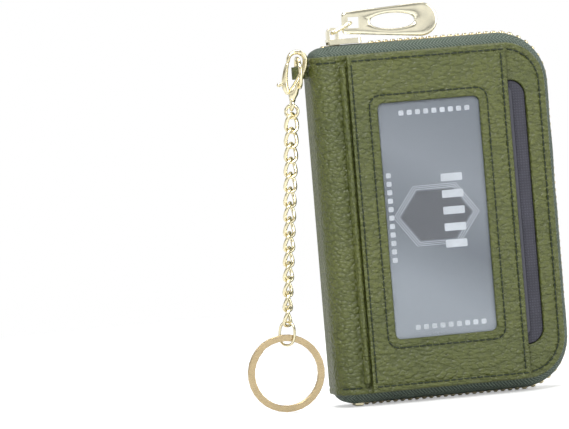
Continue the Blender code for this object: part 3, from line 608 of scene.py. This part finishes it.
def carve(bm, name, cutters):
    """The mesh less the cutters, as a final mesh."""
    obj = link(name, to_mesh(bm, name))
    helpers = [link("cutter", mesh) for mesh in cutters]
    for helper in helpers:
        modify(obj, "cut", "BOOLEAN", operation="DIFFERENCE", solver="EXACT", object=helper)
    bpy.context.view_layer.update()
    mesh = bpy.data.meshes.new_from_object(obj.evaluated_get(bpy.context.evaluated_depsgraph_get()))
    for helper in [obj] + helpers:
        bpy.data.objects.remove(helper)
    return mesh


def wrap_place(u, z, depth):
    """A point of the leather that runs round the spine. u is 0 at the spine's middle, negative in
    front, and depth is below the outer face."""
    side = -1 if u < 0 else 1
    reach = abs(u)
    if reach <= SPINE_HALF:
        return at(depth - GAUGE, u, z)
    if reach <= U_FLAT:
        angle = (reach - SPINE_HALF) / SPINE
        radius = SPINE - depth
        x = SPINE - GAUGE - radius * math.cos(angle)
        return at(x, side * (SPINE_HALF + radius * math.sin(angle)), z)
    return at(SPINE - GAUGE + reach - U_FLAT, side * (HALF - depth), z)


# Columns and rows of the leather's meshes, and how close the pocket's seam runs to its left and right.
COVER_GRID, POCKET_GRID = (120, 56), (76, 156)
POCKET_SHARES = (0.4, 0.73)


def wrapped_leather():
    """Both covers and the spine in one piece, cut at the front for the thumb slot."""
    bm = panel(wrap_place, (-U_END, BASE, U_END, TOP), CORNER, SEAM, GAUGE, *COVER_GRID)
    slot = (POCKET_RIGHT - 2.5, SLOT_LOW, SLOT_RIGHT, SLOT_HIGH)
    mesh = carve(bm, "leather_shell", [flared_cutter(slot, 0, 5.5, HALF, GAUGE)])
    obj = make("leather_shell", mesh, LEATHER, None, "front_cover", "back_cover")
    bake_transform(obj)


# The seam's distance from the window's edge, and half the height of the room for the card.
WINDOW_SEAM = 2.8
CARD_ROOM = 43.1


def pocket_relief(x, z):
    """The panel is drawn down along the window's seam and swells a little on both sides of it."""
    left, low, right, high = WINDOW
    outside = math.hypot(max(left - x, x - right, 0), max(low - z, z - high, 0))
    return 0.22 * math.exp(-(((outside - WINDOW_SEAM) / 0.55) ** 2)) - 0.03


def pocket_place(x, z, depth):
    return at(x, depth - POCKET_FACE, z)


def pocket_leather():
    """The front panel with the window's opening, hollow behind for the card."""
    box = (POCKET_LEFT, BASE + 0.3, POCKET_RIGHT, TOP - 0.3)
    thickness = POCKET_FACE - POCKET_BACK
    bm = panel(pocket_place, box, 0, SEAM, thickness, *POCKET_GRID, POCKET_SHARES, pocket_relief)
    middle = (BASE + TOP) / 2
    low = (POCKET_LEFT + 1.6, 1 - POCKET_FACE, middle - CARD_ROOM)
    high = (POCKET_RIGHT + 2, 2 - POCKET_BACK, middle + CARD_ROOM)
    window = flared_cutter(WINDOW, 2.0, 2.0, POCKET_FACE, thickness)
    mesh = carve(bm, "pocket_leather", [box_mesh(low, high), window])
    make("pocket_leather", mesh, LEATHER, "front_half", "front_pocket")


wrapped_leather()
pocket_leather()
cad_copy("welt_leather", "spine_welt", LEATHER, "front_half", 0.5, 4, 20)
cad_copy("tab_leather", "ring_tab", LEATHER, "front_half", 0.22, 3, 40)


def seam_line(left, right, radius):
    """The seam round the cover from one x along the top, down the free edge and back."""
    high, low = TOP - SEAM, BASE + SEAM
    points = [(left + (right - radius - left) * i / 60, high) for i in range(60)]
    points += list(arc(right - radius, high - radius, radius, 90, 0, 12))
    points += list(arc(right - radius, low + radius, radius, 0, -90, 12))
    points += [(right - radius + (left - right + radius) * i / 60, low) for i in range(1, 61)]
    return points


# The pocket's upright seams, and how far they end from those along its edges.
SEAM_LEFT, SEAM_RIGHT, SEAM_GAP = POCKET_LEFT + 1.3, POCKET_RIGHT - 1.8, 1.2


def front_stitching():
    """Lines round the pocket and its window, and the cover's seam to both sides of the pocket."""
    edges = (TOP - SEAM, BASE + SEAM)
    pocket = [[(SEAM_LEFT, z), (POCKET_RIGHT - 0.5, z)] for z in edges]
    pocket += [[(x, edges[0] - SEAM_GAP), (x, edges[1] + SEAM_GAP)] for x in (SEAM_LEFT, SEAM_RIGHT)]
    left, low, right, high = WINDOW
    seam = WINDOW_SEAM
    round_window = rounded(left - seam, low - seam, right + seam, high + seam, 3.6, 3.6, 6)
    pocket.append(round_window + round_window[:1])
    round_cover = seam_line(0.4, RIGHT - SEAM, CORNER - SEAM)
    right_of_pocket = [(x, z) for x, z in round_cover if x > POCKET_RIGHT + 0.5]
    by_spine = [[(0.5 + (POCKET_LEFT - 3.2 - 0.5) * i / 12, z) for i in range(13)] for z in edges]
    lines = [(line, lambda x: POCKET_FACE, -1) for line in pocket]
    lines += [(line, cover_depth, -1) for line in [right_of_pocket] + by_spine]
    stitches("front_stitching", lines, "front_half")


front_stitching()
stitches("back_stitching", [(seam_line(0.5, RIGHT - SEAM, CORNER - SEAM), cover_depth, 1)], "back_half")


# The dark lining seen in the thumb slot, over the board.
slot = (POCKET_RIGHT - 2.6, SLOT_LOW + 0.35, SLOT_RIGHT - 0.35, SLOT_HIGH - 0.35)
plate("slot_lining", rounded(*slot, 0.0, 5.1), -INNER - 0.25, -INNER, SLOT, "front_half")

repaint("window_film", FILM)
repaint("window_card", CARD)
CARD_FACE = box_of("window_card")[0][1]


def ring_plate(bm, outer, inner, y0, y1):
    """A flat frame between two outlines with the same number of points."""
    edges = ((outer, y0), (outer, y1), (inner, y1), (inner, y0))
    loops = [[bm.verts.new(at(x, y, z)) for x, z in outline] for outline, y in edges]
    for one, two in zip(loops, loops[1:] + loops[:1]):
        join_loops(bm, one, two)


# The card's printed shapes: half width and height of the hexagon, a dot's side and the dots' pitch.
HEXAGON = (12.2, 9.6)
DOT, DOT_PITCH = 1.7, 2.85


def card_motifs():
    """Plain printed shapes: long nested hexagons, a ladder of bars and rows of dots."""
    face, back = CARD_FACE - 0.05, CARD_FACE + 0.02
    bm = bmesh.new()
    left, low, right, high = WINDOW
    cx, cz = (left + right) / 2, (low + high) / 2

    def hexagon(grow):
        wide, tall = HEXAGON[0] * grow, HEXAGON[1] * grow
        return [(cx + wide * math.cos(a), cz + 1 + tall * math.sin(a)) for a in circle_angles(6)]

    for grow in (1.08, 1.15, 1.22):
        ring_plate(bm, hexagon(grow), hexagon(grow - 0.018), face, back)
    bars = [(cx + 2.4, cz - 10.5 + i * 5.6, 7.4, 2.6) for i in range(5)]
    bars += [(cx - 10.3 + i * DOT_PITCH, z, DOT, DOT) for z in (high - 4.6, low + 2.6) for i in range(9)]
    bars += [(left + 1.2, cz - 14 + i * DOT_PITCH, DOT, DOT) for i in range(11)]
    for x, z, wide, tall in bars:
        slab(bm, rounded(x, z, x + wide, z + tall, 0.35, 0.35, 3), face - 0.04, back)
    make("card_motifs", bm, CARD_MARK, "front_half")
    plate("card_badge", hexagon(1.0), face, back, CARD_DARK, "front_half")


card_motifs()


# Lengths along the zip: a straight run, the free edge, a corner and the whole.
STRAIGHT = RIGHT - CORNER - START
END = TOP - BASE - 2 * CORNER
QUARTER = math.pi / 2 * CORNER
LENGTH = 2 * STRAIGHT + 2 * QUARTER + END


def station(s):
    """A point (x, z) of the mouth's line and its way outwards."""
    if s <= STRAIGHT:
        return (START + s, TOP), (0, 1)
    s -= STRAIGHT
    if s < QUARTER:
        angle = math.pi / 2 - s / CORNER
        centre = (RIGHT - CORNER, TOP - CORNER)
    elif s <= QUARTER + END:
        return (RIGHT, TOP - CORNER - (s - QUARTER)), (1, 0)
    elif s < 2 * QUARTER + END:
        angle = -(s - QUARTER - END) / CORNER
        centre = (RIGHT - CORNER, BASE + CORNER)
    else:
        return (RIGHT - CORNER - (s - 2 * QUARTER - END), BASE), (0, -1)
    way = (math.cos(angle), math.sin(angle))
    return (centre[0] + CORNER * way[0], centre[1] + CORNER * way[1]), way


def zip_place(s, y, height, rise):
    """A place on the zip. Its height over the line is less on the free edge, and the rise isn't."""
    point, way = station(s)
    reach = height * (way[1] ** 2 + END_SHARE * way[0] ** 2) + rise
    return at(point[0] + way[0] * reach, y, point[1] + way[1] * reach)


def smooth_line(points, steps):
    """A Catmull-Rom curve through the points."""
    out = []
    padded = [points[0]] + list(points) + [points[-1]]
    for i in range(len(points) - 1):
        for t in (k / steps for k in range(steps)):
            place = []
            for p, q, r, u in zip(*padded[i : i + 4]):
                bend = 2 * p - 5 * q + 4 * r - u
                place.append(0.5 * (2 * q + (r - p) * t + bend * t * t + (3 * q - p - 3 * r + u) * t**3))
            out.append(tuple(place))
    out.append(tuple(points[-1]))
    return out


# The tape's edge at the teeth, as points (y, height), and the y where its bow begins and where it ends.
TAPE_EDGE = ((2.5, 3.2), (3.3, 3.12), (4.5, 2.9))
BOW_START, HEM_Y = 4.4, INNER - 0.6
TAPE_STEP, TAPE_GAUGE = 1.4, 0.5


def tape_profile():
    """The tape's bow across the zip, as points (y, height over the covers' edge)."""
    line = list(TAPE_EDGE)
    line += [(BOW_START + (HEM_Y - BOW_START) * y, TOOTH_Z * rise) for y, rise in BOW_SHARES]
    line += [(HEM_Y, -0.9), (HEM_Y, -2.6)]
    return smooth_line(line, 4)


def woven(name, rows, along, profile):
    """The mesh of a tape from rows of points, with its UV map in millimetres."""
    bm = bmesh.new()
    uv = bm.loops.layers.uv.new("tape")
    rows = [[bm.verts.new(point) for point in row] for row in rows]
    across = lengths(profile)
    join_rows(bm, rows)
    spots = {vert: (along[i], across[k]) for i, row in enumerate(rows) for k, vert in enumerate(row)}
    for face in bm.faces:
        for loop in face.loops:
            loop[uv].uv = spots[loop.vert]
    return to_mesh(bm, name)


def tape(side, name, body, node):
    """The tape, bowed from its hem inside the cover to the bead that carries the teeth."""
    profile = tape_profile()
    count = int(LENGTH / TAPE_STEP)
    along = [LENGTH * i / count for i in range(count + 1)]
    rows = []
    for s in along:
        row = []
        for k, (y, z) in enumerate(profile):
            wave = noise.noise(Vector((s * 0.09, y * 0.3, side * 3.0))) * 0.35
            z += wave * math.sin(math.pi * min(1, max(0, (k - 6) / (len(profile) - 10))))
            row.append(zip_place(s, side * y, max(z, 0), min(z, 0)))
        rows.append(row)
    obj = make(name, woven(name, rows, along, profile), TAPE, body, node)
    modify(obj, "gauge", "SOLIDIFY", thickness=TAPE_GAUGE * MM, offset=0)


def zip_end(name, edge, way):
    """The folded end of the tapes, tucked down to the spine under the leather's edge."""
    half = [(y, z) for y, z in tape_profile() if z > -0.5]
    section = [(-y, z) for y, z in reversed(half)] + half
    inner = SPINE - GAUGE
    along, rows = [], []
    for angle in (math.pi / 2 * i / 12 for i in range(13)):
        x = START + 0.4 - (START + 0.2) * math.sin(angle)
        reach = SPINE_HALF + math.sqrt(inner**2 - max(inner - x, 0) ** 2) - 0.12
        row = []
        for y, z in section:
            rise = (z + 0.7) * math.cos(angle) ** 0.8 - 0.7
            row.append(at(x, y * min(1, reach / section[-1][0]), edge + way * rise))
        along.append(x)
        rows.append(row)
    obj = make(name, woven(name, rows, along, section), TAPE, None)
    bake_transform(obj)


PITCH = 2.5
# The first tooth's x, the room left after the last one, and the cord's middle and radius.
FIRST_TOOTH, LAST_GAP = 20.0, 2.4
CORD_Y, CORD_RADIUS = 2.35, 0.42
# Across the zip: y from the tape to the tip, half height, half length along the zip.
TOOTH_PROFILE = ((2.78, 0.56, 0.5), (2.55, 0.95, 0.62), (1.7, 1.0, 0.66), (1.05, 0.92, 0.6))
TOOTH_PROFILE += ((0.72, 0.7, 0.42), (0.3, 0.66, 0.58), (-0.05, 0.58, 0.6), (-0.28, 0.36, 0.4))
STOP_PROFILE = ((3.3, 0.9, 1.5), (2.9, 1.15, 1.5), (1.2, 1.15, 1.5), (0.3, 0.9, 1.5))


def cast(bm, s, side, profile, cut):
    """A cast piece across the zip with its corners cut off."""
    corners = ((-1, -cut), (-cut, -1), (cut, -1), (1, -cut), (1, cut), (cut, 1), (-cut, 1), (-1, cut))
    rings = []
    for y, tall, long in profile:
        places = (zip_place(s + u * long, side * y, TOOTH_Z, v * tall) for u, v in corners)
        rings.append([bm.verts.new(place) for place in places])
    tube(bm, rings)


def teeth(side, name, body, node):
    """A cord along the tape's edge, and cast teeth half a pitch from those opposite."""
    bm = bmesh.new()
    count = int(LENGTH / 1.6)
    cord = [zip_place(LENGTH * i / count, side * CORD_Y, TOOTH_Z, 0) for i in range(count + 1)]
    sweep(bm, cord, CORD_RADIUS * MM, 8)
    first = FIRST_TOOTH - START + (0 if side < 0 else PITCH / 2)
    for i in range(int((LENGTH - first - LAST_GAP) / PITCH)):
        cast(bm, first + PITCH * (i + 0.5), side, TOOTH_PROFILE, 0.6)
    make(name, bm, GOLD_TEETH, body, node)


tape(-1, "front_zip_tape", "front_half", "zip_tape_front")
tape(1, "back_zip_tape", "back_half", "zip_tape_back")
zip_end("zip_end_top", TOP, 1)
zip_end("zip_end_base", BASE, -1)
teeth(-1, "front_teeth", "front_half", "zip_teeth_front")
teeth(1, "back_teeth", "back_half", "zip_teeth_back")
for side, body in ((-1, "front_half"), (1, "back_half")):
    bm = bmesh.new()
    cast(bm, LENGTH - 2.2, side, STOP_PROFILE, 0.7)
    make("end_stop_" + body, bm, GOLD, body)


for node, width, segments in (("zip_slider", 0.4, 4), ("coin_slider", 0.2, 3), ("coin_puller", 0.15, 3)):
    cad_copy(node + "_polished", node, PULLER_GOLD, node, width, segments, 25)


def cross(outline, start, way):
    """Where a ray from a point inside a closed outline leaves it."""
    best = 0
    for (ax, az), (bx, bz) in zip(outline, outline[1:] + outline[:1]):
        edge = Vector((bx - ax, bz - az))
        base = way.x * edge.y - way.y * edge.x
        if abs(base) < 1e-9:
            continue
        gap = Vector((ax, az)) - start
        far = (gap.x * edge.y - gap.y * edge.x) / base
        share = (gap.x * way.y - gap.y * way.x) / base
        if -1e-6 <= share <= 1 + 1e-6:
            best = max(best, far)
    return start + way * best


# The zip puller in millimetres from its pin: its two ends, the half widths there and its half thickness.
PULLER_START, PULLER_END = -2.85, 30.15
EYE_WIDE, BALL_WIDE = 3.7, 5.7
PULLER_HALF = 0.9
# The middle, half length and half width of the oval hole, and the middle and sides of the square eye.
HOLE = (14.55, 7.7, 2.65)
EYE_PLACE, EYE = 1.05, (4.0, 4.0, 3.8)
PULLER_PIN = Vector((-10.223, 1.2, 128.993)) * MM
PULLER_TILT = math.radians(1.5)
# The face from the rim to the hole: share of the way, and height in half thicknesses.
DOME = ((0, 0.0), (0, 0.5), (0.012, 0.74), (0.04, 0.88), (0.12, 0.97), (0.4, 1.04), (0.7, 1.02))
DOME += ((0.9, 0.93), (0.97, 0.78), (1, 0.5), (1, 0.0))


def puller():
    """A drop-shaped puller, domed towards its oval hole, with the square eye that the link passes."""
    span = PULLER_END - BALL_WIDE
    lean = math.degrees(math.asin((BALL_WIDE - EYE_WIDE) / span))
    outline = list(arc(span, 0, BALL_WIDE, -90 - lean, 90 + lean, 40))
    outline += list(arc(PULLER_START + 1, EYE_WIDE - 1, 1, 90, 180, 5))
    outline += list(arc(PULLER_START + 1, 1 - EYE_WIDE, 1, 180, 270, 5))
    middle = Vector((HOLE[0], 0))
    outer, inner = [], []
    for a in circle_angles(120):
        way = Vector((math.cos(a), math.sin(a)))
        outer.append(cross(outline, middle, way))
        tall = HOLE[2] * math.copysign(abs(way.y) ** 0.85, way.y)
        inner.append(middle + Vector((HOLE[1] * way.x, tall + 0.02 * way.x * tall)))
    sections = [(share, -PULLER_HALF * deep) for share, deep in DOME]
    sections += [(share, PULLER_HALF * deep) for share, deep in reversed(DOME[1:-1])]
    bm = bmesh.new()
    rows = []
    for share, depth in sections:
        places = (a.lerp(b, share) for a, b in zip(outer, inner))
        rows.append([bm.verts.new(Vector((p.x, depth, p.y)) * MM) for p in places])
    for one, two in zip(rows, rows[1:] + rows[:1]):
        join_loops(bm, one, two)
    cutter = bmesh.new()
    size = Matrix.Diagonal((*(side * MM for side in EYE), 1))
    bmesh.ops.create_cube(cutter, size=1, matrix=Matrix.Translation(Vector((EYE_PLACE, 0, 0)) * MM) @ size)
    mesh = carve(bm, "puller", [to_mesh(cutter, "puller_eye")])
    mesh.transform(Matrix.Translation(PULLER_PIN) @ Matrix.Rotation(PULLER_TILT, 4, "Y"))
    make("zip_puller_polished", mesh, PULLER_GOLD, "zip_puller", "zip_puller")


puller()


# The clasp hangs from this point of the D-ring, leaning by this angle.
HOOK = (-5.0, -5.2, 118.75)
HOOK_LEAN = math.radians(11)


def clasp_place(x, y, z):
    """A place on the clasp, from the D-ring's top down along the hook."""
    c, s = math.cos(HOOK_LEAN), math.sin(HOOK_LEAN)
    return at(HOOK[0] + x * c + z * s, HOOK[1] + y, HOOK[2] - x * s + z * c)


def limb(bm, path):
    """A rounded bar through points (x, z, half width, half depth), closed by domed ends."""
    line = smooth_line(path, 5)
    rings = []
    for i, (x, z, wide, deep) in enumerate(line):
        before, after = line[max(i - 1, 0)], line[min(i + 1, len(line) - 1)]
        along = Vector((after[0] - before[0], after[1] - before[1])).normalized()
        rings.append((x, z, along, wide, deep))
    start, end = rings[0], rings[-1]
    for push, shrink in ((0.5, 0.86), (0.87, 0.5)):
        for (x, z, along, wide, deep), sign in ((start, -1), (end, 1)):
            x += sign * along.x * wide * push
            z += sign * along.y * wide * push
            rings.insert(0 if sign < 0 else len(rings), (x, z, along, wide * shrink, deep * shrink))
    loops = []
    for x, z, along, wide, deep in rings:
        loop = []
        for a in circle_angles(14):
            off = wide * math.cos(a)
            loop.append(bm.verts.new(clasp_place(x - along.y * off, deep * math.sin(a), z + along.x * off)))
        loops.append(loop)
    tube(bm, loops)


# The arch that hangs in the D-ring, and the height, radius and wire of the swivel's eye.
ARCH_RADIUS = 2.98
EYE_Z, EYE_RING = -16, (1.6, 0.6)
# The limbs' points (x, z, half width, half depth), from the D-ring down.
HOOK_BACK = ((2.8, -3.2, 1.0, 1.1), (2.2, -5.4, 1.1, 1.15), (1.35, -7.8, 1.2, 1.2), (0.6, -10.0, 1.4, 1.2))
HOOK_FOOT = ((0.05, -11.9, 1.75, 1.2), (-0.05, -13.4, 1.3, 1.1))
SWIVEL = ((0, -13.9, 0.95, 0.9), (0, -14.4, 1.1, 1.0), (0, -14.9, 0.9, 0.9))
LEVER = ((-3.1, -2.6, 0.6, 0.8), (-3.35, -4.6, 0.8, 0.9), (-3.4, -6.8, 0.95, 0.95))
LEVER_FOOT = ((-3.25, -8.8, 1.08, 0.95), (-2.75, -10.6, 1.05, 0.9), (-2.1, -12.0, 0.8, 0.85))
THUMB = ((-3.3, -9.2, 0.6, 0.7), (-4.3, -9.5, 0.6, 0.7), (-5.2, -9.9, 0.72, 0.8))


def clasp():
    """A lobster hook: arched body with a swivel eye, and a thumb lever along its open side."""
    bm = bmesh.new()
    bend = enumerate(arc(0, -1.15, ARCH_RADIUS, 188, 0, 8))
    arch = [(x, z, 0.62 + 0.34 * k / 8, 1.0) for k, (x, z) in bend]
    limb(bm, [*arch, *HOOK_BACK, *HOOK_FOOT])
    limb(bm, SWIVEL)
    radius, wire = EYE_RING
    ring = [clasp_place(0, radius * math.cos(a), EYE_Z + radius * math.sin(a)) for a in circle_angles(24)]
    sweep(bm, ring, wire * MM, 10, closed=True)
    make("clasp_hook", bm, GOLD, "clasp", "clasp_body")
    bm = bmesh.new()
    limb(bm, LEVER + LEVER_FOOT)
    limb(bm, THUMB)
    make("clasp_thumb_lever", bm, GOLD, "clasp_lever", "clasp_lever")


clasp()


# How many times as wide as the solids the links are.
CHAIN_SWELL = 1.17
CHAIN_TOP, CHAIN_LOW = (sum(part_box(node), Vector()) / 2 for node in ("chain_link_01", "chain_link_14"))


def chain_centre(z):
    """The chain's middle at a height, from the centres of its first and last links."""
    return CHAIN_LOW.lerp(CHAIN_TOP, (z - CHAIN_LOW.z) / (CHAIN_TOP.z - CHAIN_LOW.z))


def wire_from_cad(node):
    """A fuller mesh of a bent wire, on the node's own curve, with the chain's links swelled sideways."""
    name = node + "_wire"
    bm = cad_mesh(node)
    flat, skewed = math.radians(60), math.radians(80)
    bmesh.ops.join_triangles(bm, faces=bm.faces, angle_face_threshold=flat, angle_shape_threshold=skewed)
    if node.startswith("chain_link"):
        for vert in bm.verts:
            middle = chain_centre(vert.co.z)
            vert.co.x += (vert.co.x - middle.x) * (CHAIN_SWELL - 1)
            vert.co.y += (vert.co.y - middle.y) * (CHAIN_SWELL - 1)
    obj = make(name, bm, GOLD, node, node)
    modify(obj, "round", "SUBSURF", levels=2, render_levels=2)


wires = ["puller_link", "d_ring", "jump_ring", "oval_ring"]
for node in wires + [f"chain_link_{i:02d}" for i in range(1, 15)]:
    wire_from_cad(node)
cad_copy("split_ring", "key_ring", RING_GOLD, "key_ring", 0.22, 4, 30)

for node in ("front_board", "back_board"):
    repaint(node, LINING)
dividers = sorted(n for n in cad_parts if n.startswith("divider_"))


# A divider's gauge, its hem's radius, and how far its corners are cut back at the mouth.
LEAF_GAUGE, HEM_RADIUS, LEAF_CORNER = 0.34, 0.3, 4


def leaf(node):
    """A divider with a soft wave, hemmed along its mouth."""
    (x0, y0, z0), (x1, y1, z1) = box_of(node)
    y = (y0 + y1) / 2
    seed = int(node[-2:])
    bm = bmesh.new()
    wide, tall = 24, 32
    grid = []
    for i in range(wide + 1):
        row = []
        for k in range(tall + 1):
            u, v = i / wide, k / tall
            x, z = x0 + (x1 - x0) * u, z0 + (z1 - z0) * v
            cut = max(0, abs(v - 0.5) * 2 - 0.92) / 0.08
            x = min(x, x1 - LEAF_CORNER * cut * cut)
            ripple = noise.noise(Vector((x * 0.05, z * 0.05, seed * 7.1))) * 0.12 * u
            row.append(bm.verts.new(at(x, y + ripple, z)))
        grid.append(row)
    join_rows(bm, grid)
    obj = make(node + "_cloth", to_mesh(bm, node), PLEAT, node, node)
    modify(obj, "gauge", "SOLIDIFY", thickness=LEAF_GAUGE * MM, offset=0)
    bm = bmesh.new()
    points = [at(x1 - HEM_RADIUS, y, z0 + 3.5 + (z1 - z0 - 7) * k / 24) for k in range(25)]
    sweep(bm, points, HEM_RADIUS * MM, 6)
    hem = make(node + "_hem", bm, LINING_THREAD, node)
    cut = ((x1 - x0) * MM, (z1 - z0) * MM)


for node in dividers:
    leaf(node)


PLEATS_FRONT, PLEATS_BACK = -8.2, 6.0


def gusset(name, node, way):
    """Pleats between the dividers, with their roots at the dividers' ends."""
    low, high = box_of(node)
    root, fold = (low[2] + 0.15, high[2] - 0.2) if way > 0 else (high[2] - 0.15, low[2] + 0.2)
    boxes = [box_of(divider) for divider in reversed(dividers)]
    ends = [PLEATS_FRONT] + [(a[1] + b[1]) / 2 for a, b in boxes] + [PLEATS_BACK]
    line = []
    for a, b in zip(ends, ends[1:]):
        line += [(a, root), ((a + b) / 2, fold)]
    line.append((ends[-1], root))
    wide = high[0] - low[0]
    bm = bmesh.new()
    join_rows(bm, [[bm.verts.new(at(low[0] + wide * i / 8, y, z)) for y, z in line] for i in range(9)])
    mesh = to_mesh(bm, name)
    mesh.materials.append(PLEAT)
    obj = link(name, mesh)
    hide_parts(node)
    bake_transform(obj)


gusset("pleats_top", "gusset_top", 1)
gusset("pleats_base", "gusset_base", -1)

# Coin pocket with its coil zip.
cad_copy("coin_pocket_cloth", "coin_pocket", LINING, "back_half", 0.3, 3, 40)


# The coin zip's coils: pitch, offset from the middle, half width, half depth and wire.
COIL_PITCH, COIL_X, COIL_WIDE, COIL_DEEP, COIL_WIRE = 1.1, 0.45, 0.42, 0.3, 0.14


def coil(name, node):
    """The coin pocket's zip: two coils on a strip of tape."""
    (x0, y0, z0), (x1, y1, z1) = box_of(node)
    bm = bmesh.new()
    steps = int((z1 - z0) / COIL_PITCH) * 8
    for side in (-1, 1):
        centre = (x0 + x1) / 2 + side * COIL_X
        points = []
        for i in range(steps):
            a = 2 * math.pi * i / 8
            z = z0 + (z1 - z0) * i / steps
            points.append(at(centre + COIL_WIDE * math.cos(a), y0 + 0.42 + COIL_DEEP * math.sin(a), z))
        sweep(bm, points, COIL_WIRE * MM, 5)
    make(name, bm, COIL, "back_half", node)
    plate("coin_zip_tape", rounded(x0, z0, x1, z1, 0, 0), y1 - 0.2, y1, LINING, "back_half")


coil("coin_coil", "coin_zip")

WHITE = (1, 1, 1, 1)


def floor_material():
    """Pale floor that the camera sees as white where no shadow falls."""
    n = material("floor")
    n.set(colour=(0.86, 0.86, 0.86, 1), rough=0.7, Specular_IOR_Level=0.2)
    ground = n.shader.outputs[0]
    glow = n.add("Emission", {"Color": WHITE, "Strength": 0.42})
    white = n.add("Emission", {"Color": WHITE, "Strength": 1.0})
    far = n.add("VectorMath", {0: n.add("NewGeometry", output="Position")}, "Value", operation="LENGTH")
    fade = n.math("MULTIPLY_ADD", far, 2.5, -0.5, clamp=True)
    seen = n.add("MixShader", {0: fade, 1: n.add("AddShader", {0: ground, 1: glow}), 2: white})
    n.put(n.tree.nodes["Material Output"].inputs["Surface"], n.rays("Is Camera Ray", ground, seen))
    return n.owner


def stage():
    """A wide pale floor, open on all sides."""
    bm = bmesh.new()
    bmesh.ops.create_circle(bm, cap_ends=True, segments=96, radius=4.0)
    mesh = to_mesh(bm, "floor")
    mesh.transform(Matrix.Translation((0, 0, -0.0002)))
    obj = make("floor", mesh, floor_material(), None)


stage()

scene = bpy.context.scene
scene.view_settings.view_transform = "Standard"

# The banded sky that the metal mirrors: places from the bottom to the top, and their grey.
SKY = ((0.0, 0.4), (0.3, 0.7), (0.4, 0.12), (0.45, 0.9), (0.57, 1.0))
SKY += ((0.65, 0.16), (0.78, 0.95), (0.9, 0.2))


def studio_world():
    """White to the camera, plain light on the object, and a banded sky in the metal's reflections."""
    scene.world = bpy.data.worlds.new("studio")
    n = Nodes(scene.world)
    light = n.add("Background", {"Color": (0.93, 0.96, 1.0, 1), "Strength": 0.3})
    shown = n.add("Background", {"Color": WHITE, "Strength": 1.0})
    height = n.axes(n.add("TexCoord", output="Generated"))[2]
    stops = [(place, (grey, grey, grey)) for place, grey in SKY]
    sky = n.ramp(n.math("MULTIPLY_ADD", height, 0.5, 0.5), *stops)
    mirrored = n.rays("Is Glossy Ray", light, n.add("Background", {"Color": sky, "Strength": 1.0}))
    n.put(n.tree.nodes["World Output"].inputs["Surface"], n.rays("Is Camera Ray", mirrored, shown))


studio_world()


MIDDLE = Vector((0, 0, 0.06))


def lamp(name, place, size, power):
    """A rectangular lamp aimed at the holder's middle."""
    data = bpy.data.lights.new(name, "AREA")
    data.shape = "RECTANGLE"
    data.size, data.size_y = size
    data.energy = power
    obj = link(name, data)
    obj.location = place
    obj.rotation_euler = (MIDDLE - Vector(place)).to_track_quat("-Z", "Y").to_euler()


lamp("key", (-0.3, -0.75, 0.75), (0.5, 0.4), 8)
lamp("fill", (0.7, -0.7, 0.3), (0.4, 0.8), 3)
lamp("top", (0.0, 0.15, 0.9), (0.8, 0.5), 5)
lamp("rim", (0.6, 0.5, 0.4), (0.3, 0.8), 2)

# The photograph shows the holder at SCALE pixels a millimetre, tilted by ROLL. CORNER_PIXEL is where the
# front cover's lower corner beside the spine lies in it.
PHOTO_WIDTH, PHOTO_HEIGHT = 569, 429
SCALE = 2.98
CORNER_PIXEL = Vector((340.5, 409.3))
AZIMUTH, ELEVATION, ROLL = math.radians(-11), math.radians(2), math.radians(4.7)
DISTANCE = 1.5
SENSOR = 36
level = math.cos(ELEVATION)
look = Vector((-math.sin(AZIMUTH) * level, math.cos(AZIMUTH) * level, -math.sin(ELEVATION)))
right = Vector((math.cos(AZIMUTH), math.sin(AZIMUTH), 0))
up = right.cross(look)
corner = at(-1.2, -HALF, 0)
dx, dy = PHOTO_WIDTH / 2 - CORNER_PIXEL.x, CORNER_PIXEL.y - PHOTO_HEIGHT / 2
along = (dx * math.cos(ROLL) + dy * math.sin(ROLL)) / SCALE
rise = (-dx * math.sin(ROLL) + dy * math.cos(ROLL)) / SCALE
aim = corner + (right * along + up * rise) * MM
rolled_right = right * math.cos(ROLL) + up * -math.sin(ROLL)
rolled_up = right * math.sin(ROLL) + up * math.cos(ROLL)
camera_data = bpy.data.cameras.new("camera")
camera_data.sensor_width = SENSOR
camera_data.lens = SENSOR * DISTANCE / (PHOTO_WIDTH / SCALE * MM)
camera_data.clip_end = 20
camera = link("camera", camera_data)
rotation = Matrix((rolled_right, rolled_up, -look)).transposed()
camera.matrix_world = Matrix.Translation(aim - look * DISTANCE) @ rotation.to_4x4()
scene.camera = camera
